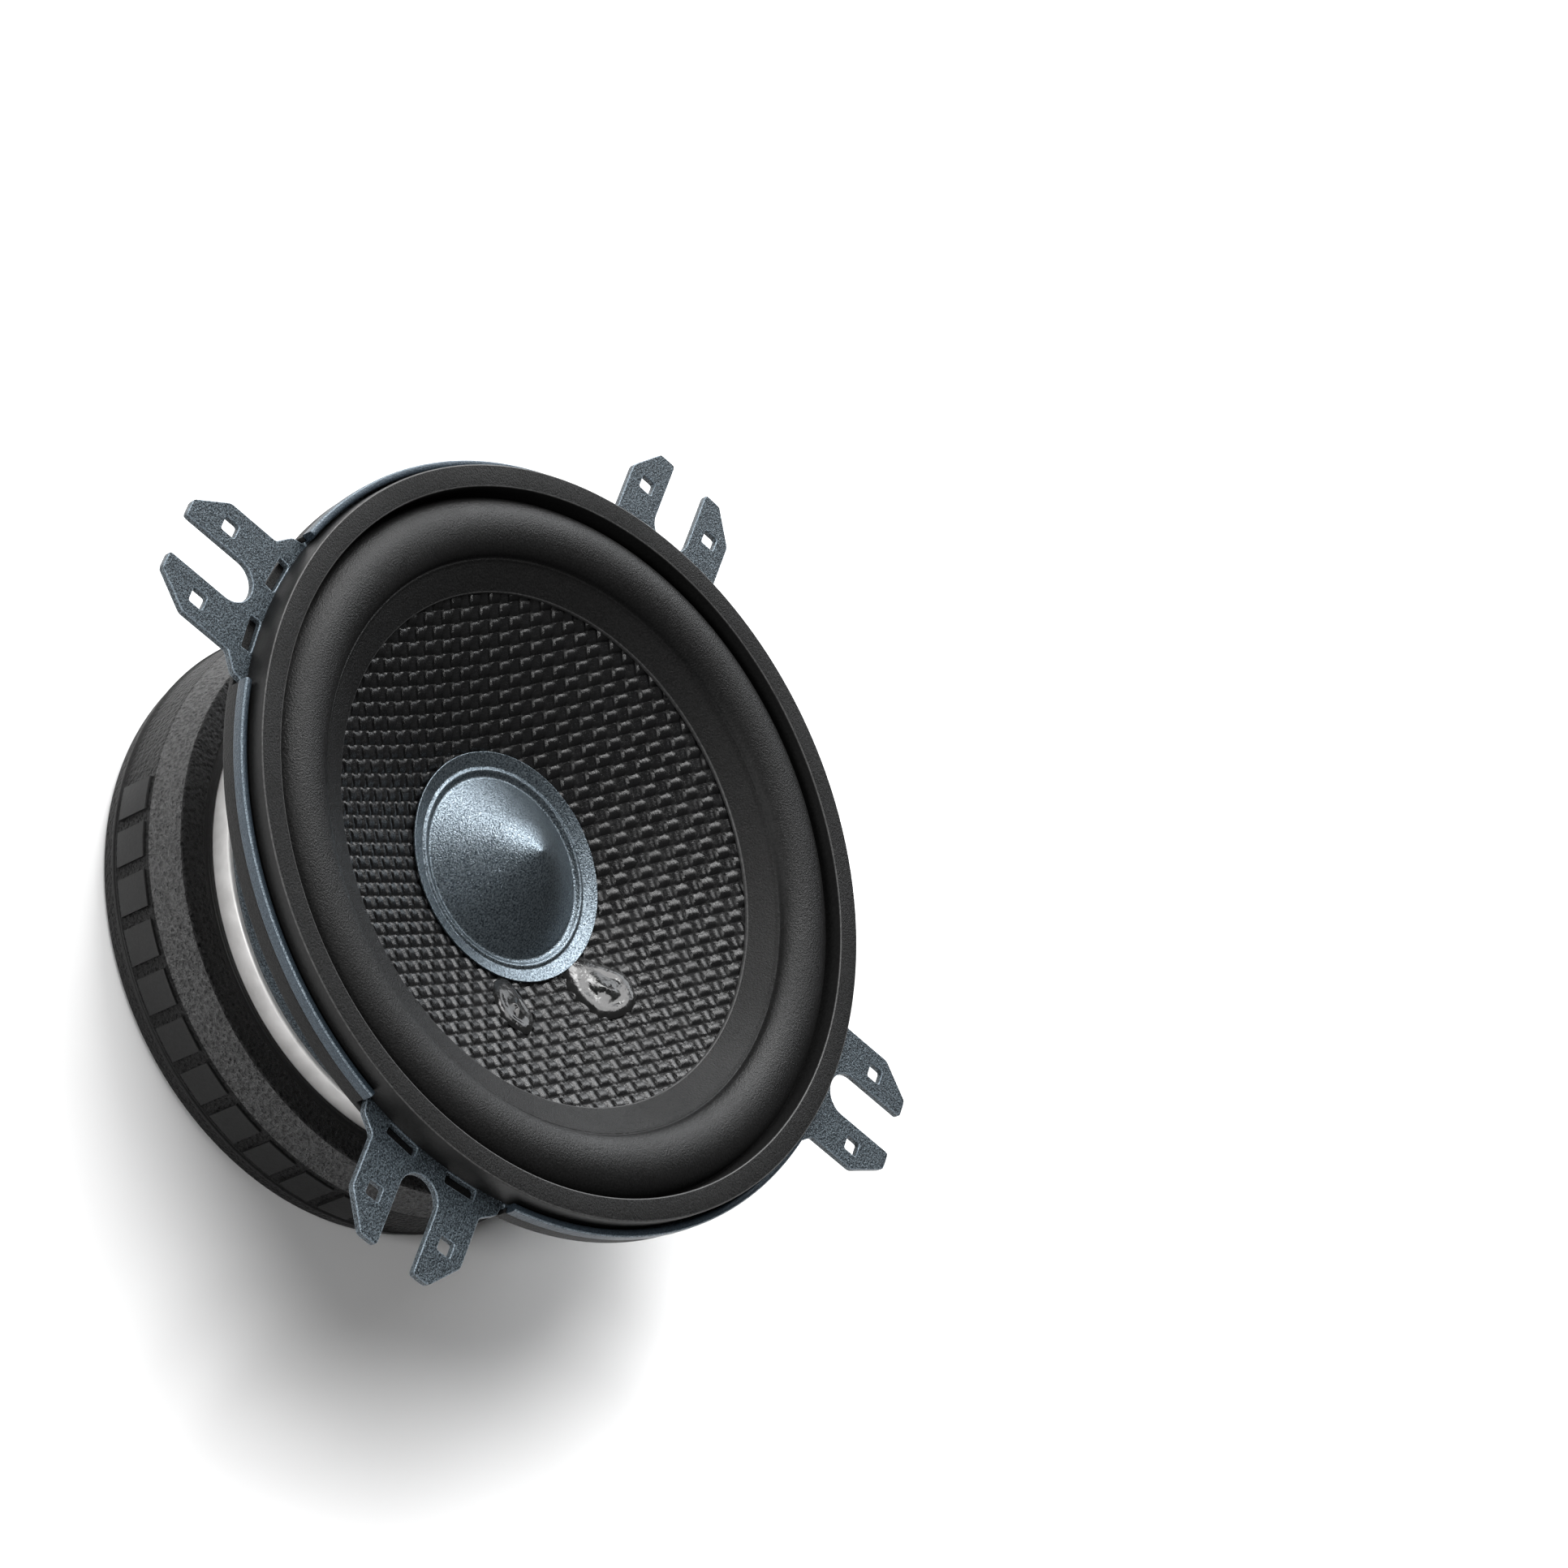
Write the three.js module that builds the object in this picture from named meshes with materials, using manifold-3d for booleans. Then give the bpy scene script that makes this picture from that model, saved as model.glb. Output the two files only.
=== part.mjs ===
// A four-inch car speaker driver, face up on the flat back of its magnet boot.
// Millimetres, +Z along the cone's axis, origin at the middle of the boot's back.
import * as THREE from "three";
import { mergeVertices } from "three/addons/utils/BufferGeometryUtils.js";
import Module from "manifold-3d";

const wasm = await Module();
wasm.setup();

// ---------------------------------------------------------------- driving dimensions
const GAP = 0.3; // clearance between two pieces that are glued, seated or fitted together
const SIDES = 40; // facets round the large rings
const SMALL_SIDES = 28; // facets round the voice coil's parts

// Magnet stack, from the back upwards
const BOOT_BACK = 1.3; // floor of the rubber boot
const BOOT_WALL = 1.2;
const BOOT_FLOOR_WIDTH = 10.5; // from the magnet's edge in to the boot's round back opening
const BOOT_LIP = 2; // thickness of the boot's turned-in front lip
const BOOT_CHAMFER_WIDTH = 1;
const BOOT_CHAMFER_HEIGHT = 3;
const BOOT_BACK_CHAMFER = 0.6;
const YOKE_THICKNESS = 4;
const YOKE_STEP = 2.5; // yoke's edge inside the magnet's
const POLE_CHAMFER = 0.8;
const POLE_VENT_RADIUS = 4;
const MAGNET_THICKNESS = 7.8;
const MAGNET_RADIUS = 40.5;
const MAGNET_BORE_CLEARANCE = 4.3; // from the winding to the magnet's bore
const TOP_PLATE_THICKNESS = 4.2;
const TOP_PLATE_STEP = 5.3; // top plate's edge inside the magnet's

// Voice coil
const COIL_RADIUS = 12.5; // inside of the former
const POLE_CLEARANCE = 0.4;
const FORMER_THICKNESS = 0.4;
const WINDING_THICKNESS = 0.5;
const WINDING_HEIGHT = 7.6;
const WINDING_CLEARANCE = 0.5; // winding to the top plate's bore
const FORMER_BELOW_PLATE = 3; // former below the top plate's back

// Basket
const BASKET_DEPTH = 22.5; // front of the flange to the back of the bottom plate
const SHEET = 1; // sheet steel thickness
const CUP_STEP = 0.2; // outside of the straight cup beyond the top plate's edge
const CUP_HEIGHT = 5.5; // straight wall on the bottom plate, up to the windows' sills
const WALL_STRAIGHT = 2.2; // straight stretch behind the flange, before the wall tapers
const BOTTOM_HOLE_CLEARANCE = 6.3; // round the winding
const WINDOW_WIDTH = 34;
const WINDOW_TOP = 4.5; // below the front of the flange

// Flange, its raised hem and its four slotted ears
const GASKET_RADIUS = 51; // outside of the front gasket
const RIM_LEDGE = 4.6; // front gasket's outside to the wall's outside, which sets the cut-out
const HEM_WIDTH = 1.1; // folded hem round the front gasket
const HEM_HEIGHT = 2.1; // above the flange
const HEM_FREE_EDGE = 0.35; // the fold's free edge, above the flange
const HEM_HALF_GAP = 13.8; // degrees from an ear's middle to the hem's end
const HEM_NECK = 0.2;
const EARS = 4;
// The ears' distances run outwards from the hem's outside.
const EAR_SHOULDER = { along: -1.3, across: 11.5 };
const EAR_KINK = { along: 1.3, across: 9.3 };
const EAR_CHAMFER_START = 9.1;
const EAR_LENGTH = 14;
const EAR_TIP_WIDTH = 2.7; // each finger's flat tip
const SLOT_HALF_WIDTH = 3.1;
const SLOT_ARC_CENTRE = 4.6;
const KEY_HOLE = 2.2; // small square hole in the middle of each finger
const KEY_HOLE_AT = 7.85;
const CLIP_SLOT = { inner: -1.5, width: 1.6, length: 4.9, angle: 5.6 };

// Gaskets
const FRONT_GASKET_WIDTH = 3.1;
const FRONT_GASKET_TOP = 4.3; // above the flange
const GASKET_SKIRT = 0.6;
const REAR_GASKET_THICKNESS = 0.7;
const REAR_UPSTAND = 0.4; // thin wall of the rear gasket that hugs the flange's edge
const REAR_UPSTAND_TOP = 0.05; // above the flange

// Surround, cone and dust cap
const RUBBER = 0.45; // surround thickness
const ROLL_CLEARANCE = 0.7; // front gasket's inside to the roll
const ROLL_WIDTH = 7.9;
const ROLL_TOP = 4; // above the flange
const SURROUND_LIP = 3.9; // width of the surround's inner lip, glued on the cone
const CONE_EDGE = 0.6; // cone's rim inside the roll's foot
const CONE_THICKNESS = 0.5;
const CONE_AT_LIP = -0.8; // cone's front at the surround's inner edge, above the flange
const CONE_COLLAR = 2.4; // straight collar at the cone's neck
const CAP_THICKNESS = 0.4;
const CAP_FLANGE_WIDTH = 2.7;
const CAP_ANGLE = 33; // degrees, flank of the conical cap
const CAP_TIP_RADIUS = 3;
const CAP_BASE_RISE = 0.5; // flank's foot above the cap's flange

// Spider and its landing ring
const SPIDER_RING_CLEARANCE = 3.6; // inside the cup
const SPIDER_RING_WIDTH = 3.8;
const SPIDER_HEIGHT = 6.75; // spider's middle, above the basket's back
const NECK_HEIGHT = 5.33; // cone's neck above the spider
const SPIDER_CLOTH = 0.5;
const SPIDER_WAVE = 0.8;
const SPIDER_FOLDS = 8;

// Terminals and leads, in the window at TERMINAL_ANGLE
const TERMINAL_ANGLE = 225; // degrees round from +X
const BOARD = { width: 18, thickness: 1.5, top: 10 }; // its top is measured below the flange
const BOSS = { width: 14, depth: 1, height: 5.1 };
const BOARD_RIVET_SPREAD = 5;
const BOARD_RIVET_HEIGHT = 2.5; // above the basket's back
const BOARD_RIVET_RADIUS = 0.9;
const BOARD_RIVET_HEAD = { radius: 1.7, height: 0.8 };
const TAB_SPREAD = 4.6; // each tab's distance from the board's middle
const TAB_HEIGHT = 12.5; // below the flange
const TAB_THICKNESS = 0.8;
const TAB_SHOULDER = 1;
const TAB_LUG = 3.3; // solder lug inside the board
const TAB_BLADE = 6.2;
const TAB_WIDTHS = { positive: 4.8, negative: 2.8 };
const TAB_SHOULDER_EXTRA = 1.4;
const LEAD_RADIUS = 0.45;
const LEAD_SIDES = 6;
const LEAD_STEPS = 10;
const DAB_SPREAD = 24; // degrees from the terminals' angle to each glue dab
const DAB_AT = 21.2; // radius of the dab's middle
const DAB = { length: 3, width: 2.2, height: 0.5 };

// Rivets that hold the basket to the top plate
const PLATE_RIVETS = 4;
const PLATE_RIVET_RADIUS = 1.2;
const PLATE_RIVET_DEPTH = 3;
const PLATE_RIVET_HEAD = { radius: 2.2, height: 1.1 };

// ---------------------------------------------------------------- levels and radii that follow
const yokeBack = BOOT_BACK + GAP;
const yokeTop = yokeBack + YOKE_THICKNESS;
const magnetBack = yokeTop + GAP;
const magnetTop = magnetBack + MAGNET_THICKNESS;
const topPlateBack = magnetTop + GAP;
const topPlateTop = topPlateBack + TOP_PLATE_THICKNESS;
const bootTop = magnetTop + GAP + BOOT_LIP;
const basketBack = topPlateTop + GAP;
const flange = basketBack + BASKET_DEPTH; // front face of the flange and ears
const topPlateRadius = MAGNET_RADIUS - TOP_PLATE_STEP;
const bootInner = MAGNET_RADIUS + GAP;
const bootRadius = bootInner + BOOT_WALL;
const formerOuter = COIL_RADIUS + FORMER_THICKNESS;
const windingInner = formerOuter + GAP;
const windingOuter = windingInner + WINDING_THICKNESS;
const neckRadius = formerOuter + GAP;
const gasketInner = GASKET_RADIUS - FRONT_GASKET_WIDTH;
const hemInner = GASKET_RADIUS + GAP;
const hemRadius = hemInner + HEM_WIDTH;
const flangeRadius = hemInner + HEM_NECK;
const wallRadius = GASKET_RADIUS - RIM_LEDGE;
const rollOuter = gasketInner - ROLL_CLEARANCE;
const rollInner = rollOuter - ROLL_WIDTH;
const coneRadius = rollInner - CONE_EDGE;
const lipRadius = coneRadius - SURROUND_LIP;
const cupRadius = topPlateRadius + CUP_STEP;
const cupInner = cupRadius - SHEET;
const spiderRing = cupInner - SPIDER_RING_CLEARANCE;
const ringInner = spiderRing - SPIDER_RING_WIDTH;
const bottomHole = windingOuter + BOTTOM_HOLE_CLEARANCE;
const plateRivetAt = (bottomHole + ringInner) / 2;
const spiderLevel = basketBack + SPIDER_HEIGHT;
const coneLip = flange + CONE_AT_LIP; // cone's front at the surround's inner edge
const coneNeck = spiderLevel + NECK_HEIGHT; // cone's front at its neck
const coneSlope = (coneLip - coneNeck) / (lipRadius - neckRadius);
const capBase = neckRadius - GAP / 2;
const capFlange = capBase + CAP_FLANGE_WIDTH;
const boardInner = cupRadius + BOSS.depth + GAP; // inner face of the terminal board
const boardRivetLevel = basketBack + BOARD_RIVET_HEIGHT;
const boardOuter = boardInner + BOARD.thickness;
const earAngles = Array.from({ length: EARS }, (_, i) => (360 / EARS) * i);
const windowAngles = earAngles.map((angle) => angle + 180 / EARS);

// Front surface of the cone at a radius.
function coneFront(radius) {
  return coneLip - coneSlope * (lipRadius - radius);
}

// ---------------------------------------------------------------- solids
// A closed three.js geometry as a manifold-3d solid; collapsed triangles at poles are dropped.
function solid(geometry) {
  const bare = new THREE.BufferGeometry();
  bare.setAttribute("position", geometry.getAttribute("position"));
  bare.setIndex(geometry.index);
  const merged = mergeVertices(bare, 1e-4);
  const corners = merged.index.array;
  const triangles = [];
  for (let i = 0; i < corners.length; i += 3) {
    const [a, b, c] = [corners[i], corners[i + 1], corners[i + 2]];
    if (a !== b && b !== c && c !== a) triangles.push(a, b, c);
  }
  return new wasm.Manifold(
    new wasm.Mesh({
      numProp: 3,
      vertProperties: merged.getAttribute("position").array,
      triVerts: new Uint32Array(triangles),
    }),
  );
}

// A [radius, height] outline, listed anticlockwise, turned round the Z axis.
function revolve(outline, sides = SIDES) {
  const points = outline.map(([radius, height]) => new THREE.Vector2(radius, height));
  const onAxis = points[0].x === 0 && points[points.length - 1].x === 0;
  if (!onAxis) points.push(points[0].clone());
  const geometry = new THREE.LatheGeometry(points, sides);
  geometry.rotateX(Math.PI / 2);
  return solid(geometry);
}

// A flat shape raised from one height to another.
function plate(shape, low, high, curveSegments = 12) {
  const options = { depth: high - low, bevelEnabled: false, curveSegments };
  const geometry = new THREE.ExtrudeGeometry(shape, options);
  geometry.translate(0, 0, low);
  return solid(geometry);
}

// A box from its lowest to its highest corner.
function block([x0, y0, z0], [x1, y1, z1]) {
  const geometry = new THREE.BoxGeometry(x1 - x0, y1 - y0, z1 - z0);
  geometry.translate((x0 + x1) / 2, (y0 + y1) / 2, (z0 + z1) / 2);
  return solid(geometry);
}

// A round bar along +X from one distance to another.
function barAlongX(radius, from, to, y, z, sides = 12) {
  const geometry = new THREE.CylinderGeometry(radius, radius, to - from, sides);
  geometry.rotateZ(Math.PI / 2);
  geometry.translate((from + to) / 2, y, z);
  return solid(geometry);
}

// A flat ring's stretch between two angles, in degrees.
function arcPlate(inner, outer, fromDegrees, toDegrees, low, high) {
  const from = THREE.MathUtils.degToRad(fromDegrees);
  const to = THREE.MathUtils.degToRad(toDegrees);
  const shape = new THREE.Shape();
  shape.absarc(0, 0, outer, from, to, false);
  shape.absarc(0, 0, inner, to, from, true);
  return plate(shape, low, high, 8);
}

function turned(part, degrees) {
  return part.rotate([0, 0, degrees]);
}

// ---------------------------------------------------------------- materials
function finish(color, roughness, metalness) {
  return new THREE.MeshStandardMaterial({ color, roughness, metalness });
}

const powderCoat = finish(0x39444e, 0.55, 0.5);
const gasketRubber = finish(0x1d1d1e, 0.8, 0);
const surroundRubber = finish(0x242526, 0.5, 0);
const wovenFibre = finish(0x17181a, 0.25, 0.1);
const capMetal = finish(0x4d5b68, 0.35, 0.9);
const formerFilm = finish(0x8a5a24, 0.4, 0);
const copper = finish(0xb26a3c, 0.3, 1);
const spiderCloth = finish(0x8c6a32, 0.9, 0);
const ringPlastic = finish(0x202124, 0.6, 0);
const platedSteel = finish(0xdadcdf, 0.25, 1);
const ferrite = finish(0x2b2b2d, 0.7, 0);
const bootRubber = finish(0x1b1c1d, 0.7, 0);
const phenolic = finish(0x5a3a20, 0.7, 0);
const tinnedBrass = finish(0xc9c3ad, 0.3, 1);
const rivetSteel = finish(0xb9bcc0, 0.35, 1);
const tinsel = finish(0xb08d57, 0.5, 0.8);
const adhesive = finish(0x0b0b0c, 0.08, 0);

const speaker = new THREE.Group();
speaker.name = "car_speaker";

function add(name, part, material) {
  const mesh = part.getMesh();
  const geometry = new THREE.BufferGeometry();
  geometry.setAttribute("position", new THREE.BufferAttribute(mesh.vertProperties, 3));
  geometry.setIndex(new THREE.BufferAttribute(mesh.triVerts, 1));
  geometry.computeVertexNormals();
  const node = new THREE.Mesh(geometry, material);
  node.name = name;
  speaker.add(node);
}

// ---------------------------------------------------------------- magnet stack
// Rubber boot: a cup with a turned-in front lip and a round opening in its back.
add(
  "magnet_boot",
  revolve([
    [MAGNET_RADIUS - BOOT_FLOOR_WIDTH, 0],
    [bootRadius - BOOT_BACK_CHAMFER, 0],
    [bootRadius, BOOT_BACK_CHAMFER],
    [bootRadius, bootTop - BOOT_CHAMFER_HEIGHT],
    [bootRadius - BOOT_CHAMFER_WIDTH, bootTop],
    [topPlateRadius + GAP, bootTop],
    [topPlateRadius + GAP, bootTop - BOOT_LIP],
    [bootInner, bootTop - BOOT_LIP],
    [bootInner, BOOT_BACK],
    [MAGNET_RADIUS - BOOT_FLOOR_WIDTH, BOOT_BACK],
  ]),
  bootRubber,
);

// Yoke: back plate and vented pole piece in one.
const poleRadius = COIL_RADIUS - POLE_CLEARANCE;
add(
  "yoke",
  revolve([
    [POLE_VENT_RADIUS, yokeBack],
    [MAGNET_RADIUS - YOKE_STEP, yokeBack],
    [MAGNET_RADIUS - YOKE_STEP, yokeTop],
    [poleRadius, yokeTop],
    [poleRadius, topPlateTop - POLE_CHAMFER],
    [poleRadius - POLE_CHAMFER, topPlateTop],
    [POLE_VENT_RADIUS, topPlateTop],
  ]),
  platedSteel,
);

add(
  "magnet",
  revolve([
    [windingOuter + MAGNET_BORE_CLEARANCE, magnetBack],
    [MAGNET_RADIUS, magnetBack],
    [MAGNET_RADIUS, magnetTop],
    [windingOuter + MAGNET_BORE_CLEARANCE, magnetTop],
  ]),
  ferrite,
);

// Top plate, with a blind hole under each basket rivet.
const plateRivetAngles = earAngles.slice(0, PLATE_RIVETS);
const rivetHole = barAlongX(PLATE_RIVET_RADIUS + GAP, -BASKET_DEPTH, BASKET_DEPTH, 0, 0)
  .rotate([0, 90, 0])
  .translate([plateRivetAt, 0, topPlateTop - PLATE_RIVET_DEPTH + BASKET_DEPTH]);
let topPlate = revolve([
  [windingOuter + WINDING_CLEARANCE, topPlateBack],
  [topPlateRadius, topPlateBack],
  [topPlateRadius, topPlateTop],
  [windingOuter + WINDING_CLEARANCE, topPlateTop],
]);
for (const angle of plateRivetAngles) topPlate = topPlate.subtract(turned(rivetHole, angle));
add("top_plate", topPlate, platedSteel);

// ---------------------------------------------------------------- basket
// Flange, tapered wall, straight cup and bottom plate, turned as one.
let basket = revolve([
  [flangeRadius, flange - SHEET],
  [flangeRadius, flange],
  [wallRadius - SHEET, flange],
  [wallRadius - SHEET, flange - WALL_STRAIGHT],
  [cupInner, basketBack + CUP_HEIGHT],
  [cupInner, basketBack + SHEET],
  [bottomHole, basketBack + SHEET],
  [bottomHole, basketBack],
  [cupRadius, basketBack],
  [cupRadius, basketBack + CUP_HEIGHT],
  [wallRadius, flange - WALL_STRAIGHT],
  [wallRadius, flange - SHEET],
]);
for (const angle of windowAngles) {
  const opening = block(
    [spiderRing, -WINDOW_WIDTH / 2, basketBack + CUP_HEIGHT],
    [hemRadius, WINDOW_WIDTH / 2, flange - WINDOW_TOP],
  );
  basket = basket.subtract(turned(opening, angle));
}

// One ear: two fingers round an open U slot, each with a square key hole.
function earShape() {
  const shape = new THREE.Shape();
  const root = wallRadius + FRONT_GASKET_WIDTH;
  const shoulder = hemRadius + EAR_SHOULDER.along;
  const kink = hemRadius + EAR_KINK.along;
  const chamferStart = hemRadius + EAR_CHAMFER_START;
  const tip = hemRadius + EAR_LENGTH;
  const tipOuter = SLOT_HALF_WIDTH + EAR_TIP_WIDTH;
  const quarter = Math.PI / 2;
  shape.moveTo(root, -EAR_SHOULDER.across);
  shape.lineTo(shoulder, -EAR_SHOULDER.across);
  shape.lineTo(kink, -EAR_KINK.across);
  shape.lineTo(chamferStart, -EAR_KINK.across);
  shape.lineTo(tip, -tipOuter);
  shape.lineTo(tip, -SLOT_HALF_WIDTH);
  shape.lineTo(hemRadius + SLOT_ARC_CENTRE, -SLOT_HALF_WIDTH);
  shape.absarc(hemRadius + SLOT_ARC_CENTRE, 0, SLOT_HALF_WIDTH, -quarter, quarter, true);
  shape.lineTo(tip, SLOT_HALF_WIDTH);
  shape.lineTo(tip, tipOuter);
  shape.lineTo(chamferStart, EAR_KINK.across);
  shape.lineTo(kink, EAR_KINK.across);
  shape.lineTo(shoulder, EAR_SHOULDER.across);
  shape.lineTo(root, EAR_SHOULDER.across);
  return shape;
}

const below = flange - 2 * SHEET;
const above = flange + SHEET;
for (const angle of earAngles) {
  let ear = plate(earShape(), flange - SHEET, flange, 8);
  for (const side of [-1, 1]) {
    const keyAlong = hemRadius + KEY_HOLE_AT;
    const keyAcross = (side * (SLOT_HALF_WIDTH + EAR_KINK.across)) / 2;
    const keyHole = block(
      [keyAlong - KEY_HOLE / 2, keyAcross - KEY_HOLE / 2, below],
      [keyAlong + KEY_HOLE / 2, keyAcross + KEY_HOLE / 2, above],
    );
    ear = ear.subtract(keyHole);
  }
  basket = basket.add(turned(ear, angle));
  for (const side of [-1, 1]) {
    const clipInner = hemRadius + CLIP_SLOT.inner;
    const clipSlot = block(
      [clipInner, -CLIP_SLOT.length / 2, below],
      [clipInner + CLIP_SLOT.width, CLIP_SLOT.length / 2, above],
    );
    basket = basket.subtract(turned(clipSlot, angle + side * CLIP_SLOT.angle));
  }
  const start = angle + HEM_HALF_GAP;
  const stop = angle + 360 / EARS - HEM_HALF_GAP;
  const neck = arcPlate(
    hemInner,
    flangeRadius,
    start,
    stop,
    flange - SHEET / 2,
    flange + HEM_HEIGHT / 2,
  );
  const hem = arcPlate(
    hemInner,
    hemRadius,
    start,
    stop,
    flange + HEM_FREE_EDGE,
    flange + HEM_HEIGHT,
  );
  basket = basket.add(neck).add(hem);
}

// Flat boss on the cup that carries the terminal board.
const boss = block(
  [cupInner, -BOSS.width / 2, basketBack],
  [cupRadius + BOSS.depth, BOSS.width / 2, basketBack + BOSS.height],
);
basket = basket.add(turned(boss, TERMINAL_ANGLE));
for (const side of [-1, 1]) {
  const hole = barAlongX(
    BOARD_RIVET_RADIUS + GAP,
    cupInner - 2 * SHEET,
    boardInner,
    side * BOARD_RIVET_SPREAD,
    boardRivetLevel,
  );
  basket = basket.subtract(turned(hole, TERMINAL_ANGLE));
}
for (const angle of plateRivetAngles) basket = basket.subtract(turned(rivetHole, angle));
add("basket", basket, powderCoat);

// Dome-headed rivets through the bottom plate into the top plate.
const headFoot = basketBack + SHEET + GAP;
const rivetTip = topPlateTop - PLATE_RIVET_DEPTH + GAP;
plateRivetAngles.forEach((angle, i) => {
  const rivet = revolve(
    [
      [0, rivetTip],
      [PLATE_RIVET_RADIUS, rivetTip],
      [PLATE_RIVET_RADIUS, headFoot],
      [PLATE_RIVET_HEAD.radius, headFoot],
      [PLATE_RIVET_HEAD.radius * 0.7, headFoot + PLATE_RIVET_HEAD.height * 0.75],
      [0, headFoot + PLATE_RIVET_HEAD.height],
    ],
    12,
  ).translate([plateRivetAt, 0, 0]);
  add("basket_rivet_" + (i + 1), turned(rivet, angle), rivetSteel);
});

// ---------------------------------------------------------------- gaskets
const gasketFoot = flange + 2 * GAP + RUBBER;
add(
  "front_gasket",
  revolve([
    [gasketInner, gasketFoot],
    [GASKET_RADIUS - GASKET_SKIRT, gasketFoot],
    [GASKET_RADIUS - GASKET_SKIRT, flange + GAP],
    [GASKET_RADIUS, flange + GAP],
    [GASKET_RADIUS, flange + FRONT_GASKET_TOP],
    [gasketInner, flange + FRONT_GASKET_TOP],
  ]),
  gasketRubber,
);

// Rear gasket: a flat ring behind the flange with a thin upstand between the ears.
const rearFront = flange - SHEET - GAP;
const upstandInner = flangeRadius + GAP;
const upstandOuter = upstandInner + REAR_UPSTAND;
let rearGasket = revolve([
  [wallRadius + GAP, rearFront - REAR_GASKET_THICKNESS],
  [upstandOuter, rearFront - REAR_GASKET_THICKNESS],
  [upstandOuter, flange + REAR_UPSTAND_TOP],
  [upstandInner, flange + REAR_UPSTAND_TOP],
  [upstandInner, rearFront],
  [wallRadius + GAP, rearFront],
]);
for (const angle of earAngles) {
  const notch = arcPlate(
    flangeRadius,
    hemRadius + SHEET,
    angle - HEM_HALF_GAP,
    angle + HEM_HALF_GAP,
    rearFront,
    above,
  );
  rearGasket = rearGasket.subtract(notch);
}
add("rear_gasket", rearGasket, gasketRubber);

// ---------------------------------------------------------------- surround and cone
// Half roll between the flange and the cone, drawn as one band of constant thickness.
function surroundOutline() {
  const outerFoot = flange + GAP;
  const lipFoot = (radius) => coneFront(radius) + GAP;
  const middle = (rollOuter + rollInner) / 2;
  const half = (rollOuter - rollInner) / 2;
  const top = [];
  const under = [];
  const steps = 6;
  for (let i = 0; i <= steps; i++) {
    const angle = (Math.PI * i) / steps;
    const along = i / steps;
    const foot = outerFoot * (1 - along) + lipFoot(rollInner) * along;
    const rise = flange + ROLL_TOP - RUBBER - foot;
    const outer = half + RUBBER / 2;
    const inner = half - RUBBER / 2;
    top.push([middle + outer * Math.cos(angle), foot + RUBBER + rise * Math.sin(angle)]);
    under.push([middle + inner * Math.cos(angle), foot + rise * Math.sin(angle)]);
  }
  const edge = GASKET_RADIUS - GASKET_SKIRT - GAP;
  return [
    [edge, outerFoot],
    [edge, outerFoot + RUBBER],
    ...top,
    [lipRadius, lipFoot(lipRadius) + RUBBER],
    [lipRadius, lipFoot(lipRadius)],
    ...under.reverse(),
  ];
}
add("surround", revolve(surroundOutline()), surroundRubber);

add(
  "cone",
  revolve([
    [neckRadius, coneFront(neckRadius) - CONE_THICKNESS - CONE_COLLAR],
    [neckRadius + CONE_THICKNESS, coneFront(neckRadius) - CONE_THICKNESS - CONE_COLLAR],
    [
      neckRadius + CONE_THICKNESS,
      coneFront(neckRadius + CONE_THICKNESS) - CONE_THICKNESS,
    ],
    [coneRadius, coneFront(coneRadius) - CONE_THICKNESS],
    [coneRadius, coneFront(coneRadius)],
    [neckRadius, coneFront(neckRadius)],
  ]),
  wovenFibre,
);

// Dust cap: a flange that lies on the cone, then a conical dome with a round tip.
function capOutline() {
  const tilt = THREE.MathUtils.degToRad(CAP_ANGLE);
  const flangeFoot = (radius) => coneFront(radius) + GAP;
  const footHeight = flangeFoot(capBase) + CAP_BASE_RISE;
  const sharpTip = footHeight + capBase * Math.tan(tilt);
  const tipCentre = sharpTip - CAP_TIP_RADIUS / Math.cos(tilt);
  const outside = [];
  const inside = [];
  const steps = 4;
  for (let i = steps; i >= 0; i--) {
    const angle = (tilt * i) / steps;
    const inner = CAP_TIP_RADIUS - CAP_THICKNESS;
    const [across, up] = [Math.sin(angle), Math.cos(angle)];
    outside.push([i ? CAP_TIP_RADIUS * across : 0, tipCentre + CAP_TIP_RADIUS * up]);
    inside.push([i ? inner * across : 0, tipCentre + inner * up]);
  }
  return [
    ...inside.reverse(),
    [capBase - CAP_THICKNESS, footHeight - CAP_THICKNESS],
    [capBase, flangeFoot(capBase)],
    [capFlange, flangeFoot(capFlange)],
    [capFlange, flangeFoot(capFlange) + CAP_THICKNESS],
    [capBase + CAP_THICKNESS, flangeFoot(capBase) + CAP_THICKNESS],
    [capBase, footHeight],
    ...outside,
  ];
}
add("dust_cap", revolve(capOutline(), SMALL_SIDES), capMetal);

// ---------------------------------------------------------------- voice coil
const formerTop = coneFront(neckRadius) - CONE_THICKNESS;
const formerBottom = topPlateBack - FORMER_BELOW_PLATE;
add(
  "voice_coil_former",
  revolve(
    [
      [COIL_RADIUS, formerBottom],
      [formerOuter, formerBottom],
      [formerOuter, formerTop],
      [COIL_RADIUS, formerTop],
    ],
    SMALL_SIDES,
  ),
  formerFilm,
);

const plateMiddle = (topPlateBack + topPlateTop) / 2;
add(
  "voice_coil_winding",
  revolve(
    [
      [windingInner, plateMiddle - WINDING_HEIGHT / 2],
      [windingOuter, plateMiddle - WINDING_HEIGHT / 2],
      [windingOuter, plateMiddle + WINDING_HEIGHT / 2],
      [windingInner, plateMiddle + WINDING_HEIGHT / 2],
    ],
    SMALL_SIDES,
  ),
  copper,
);

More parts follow.
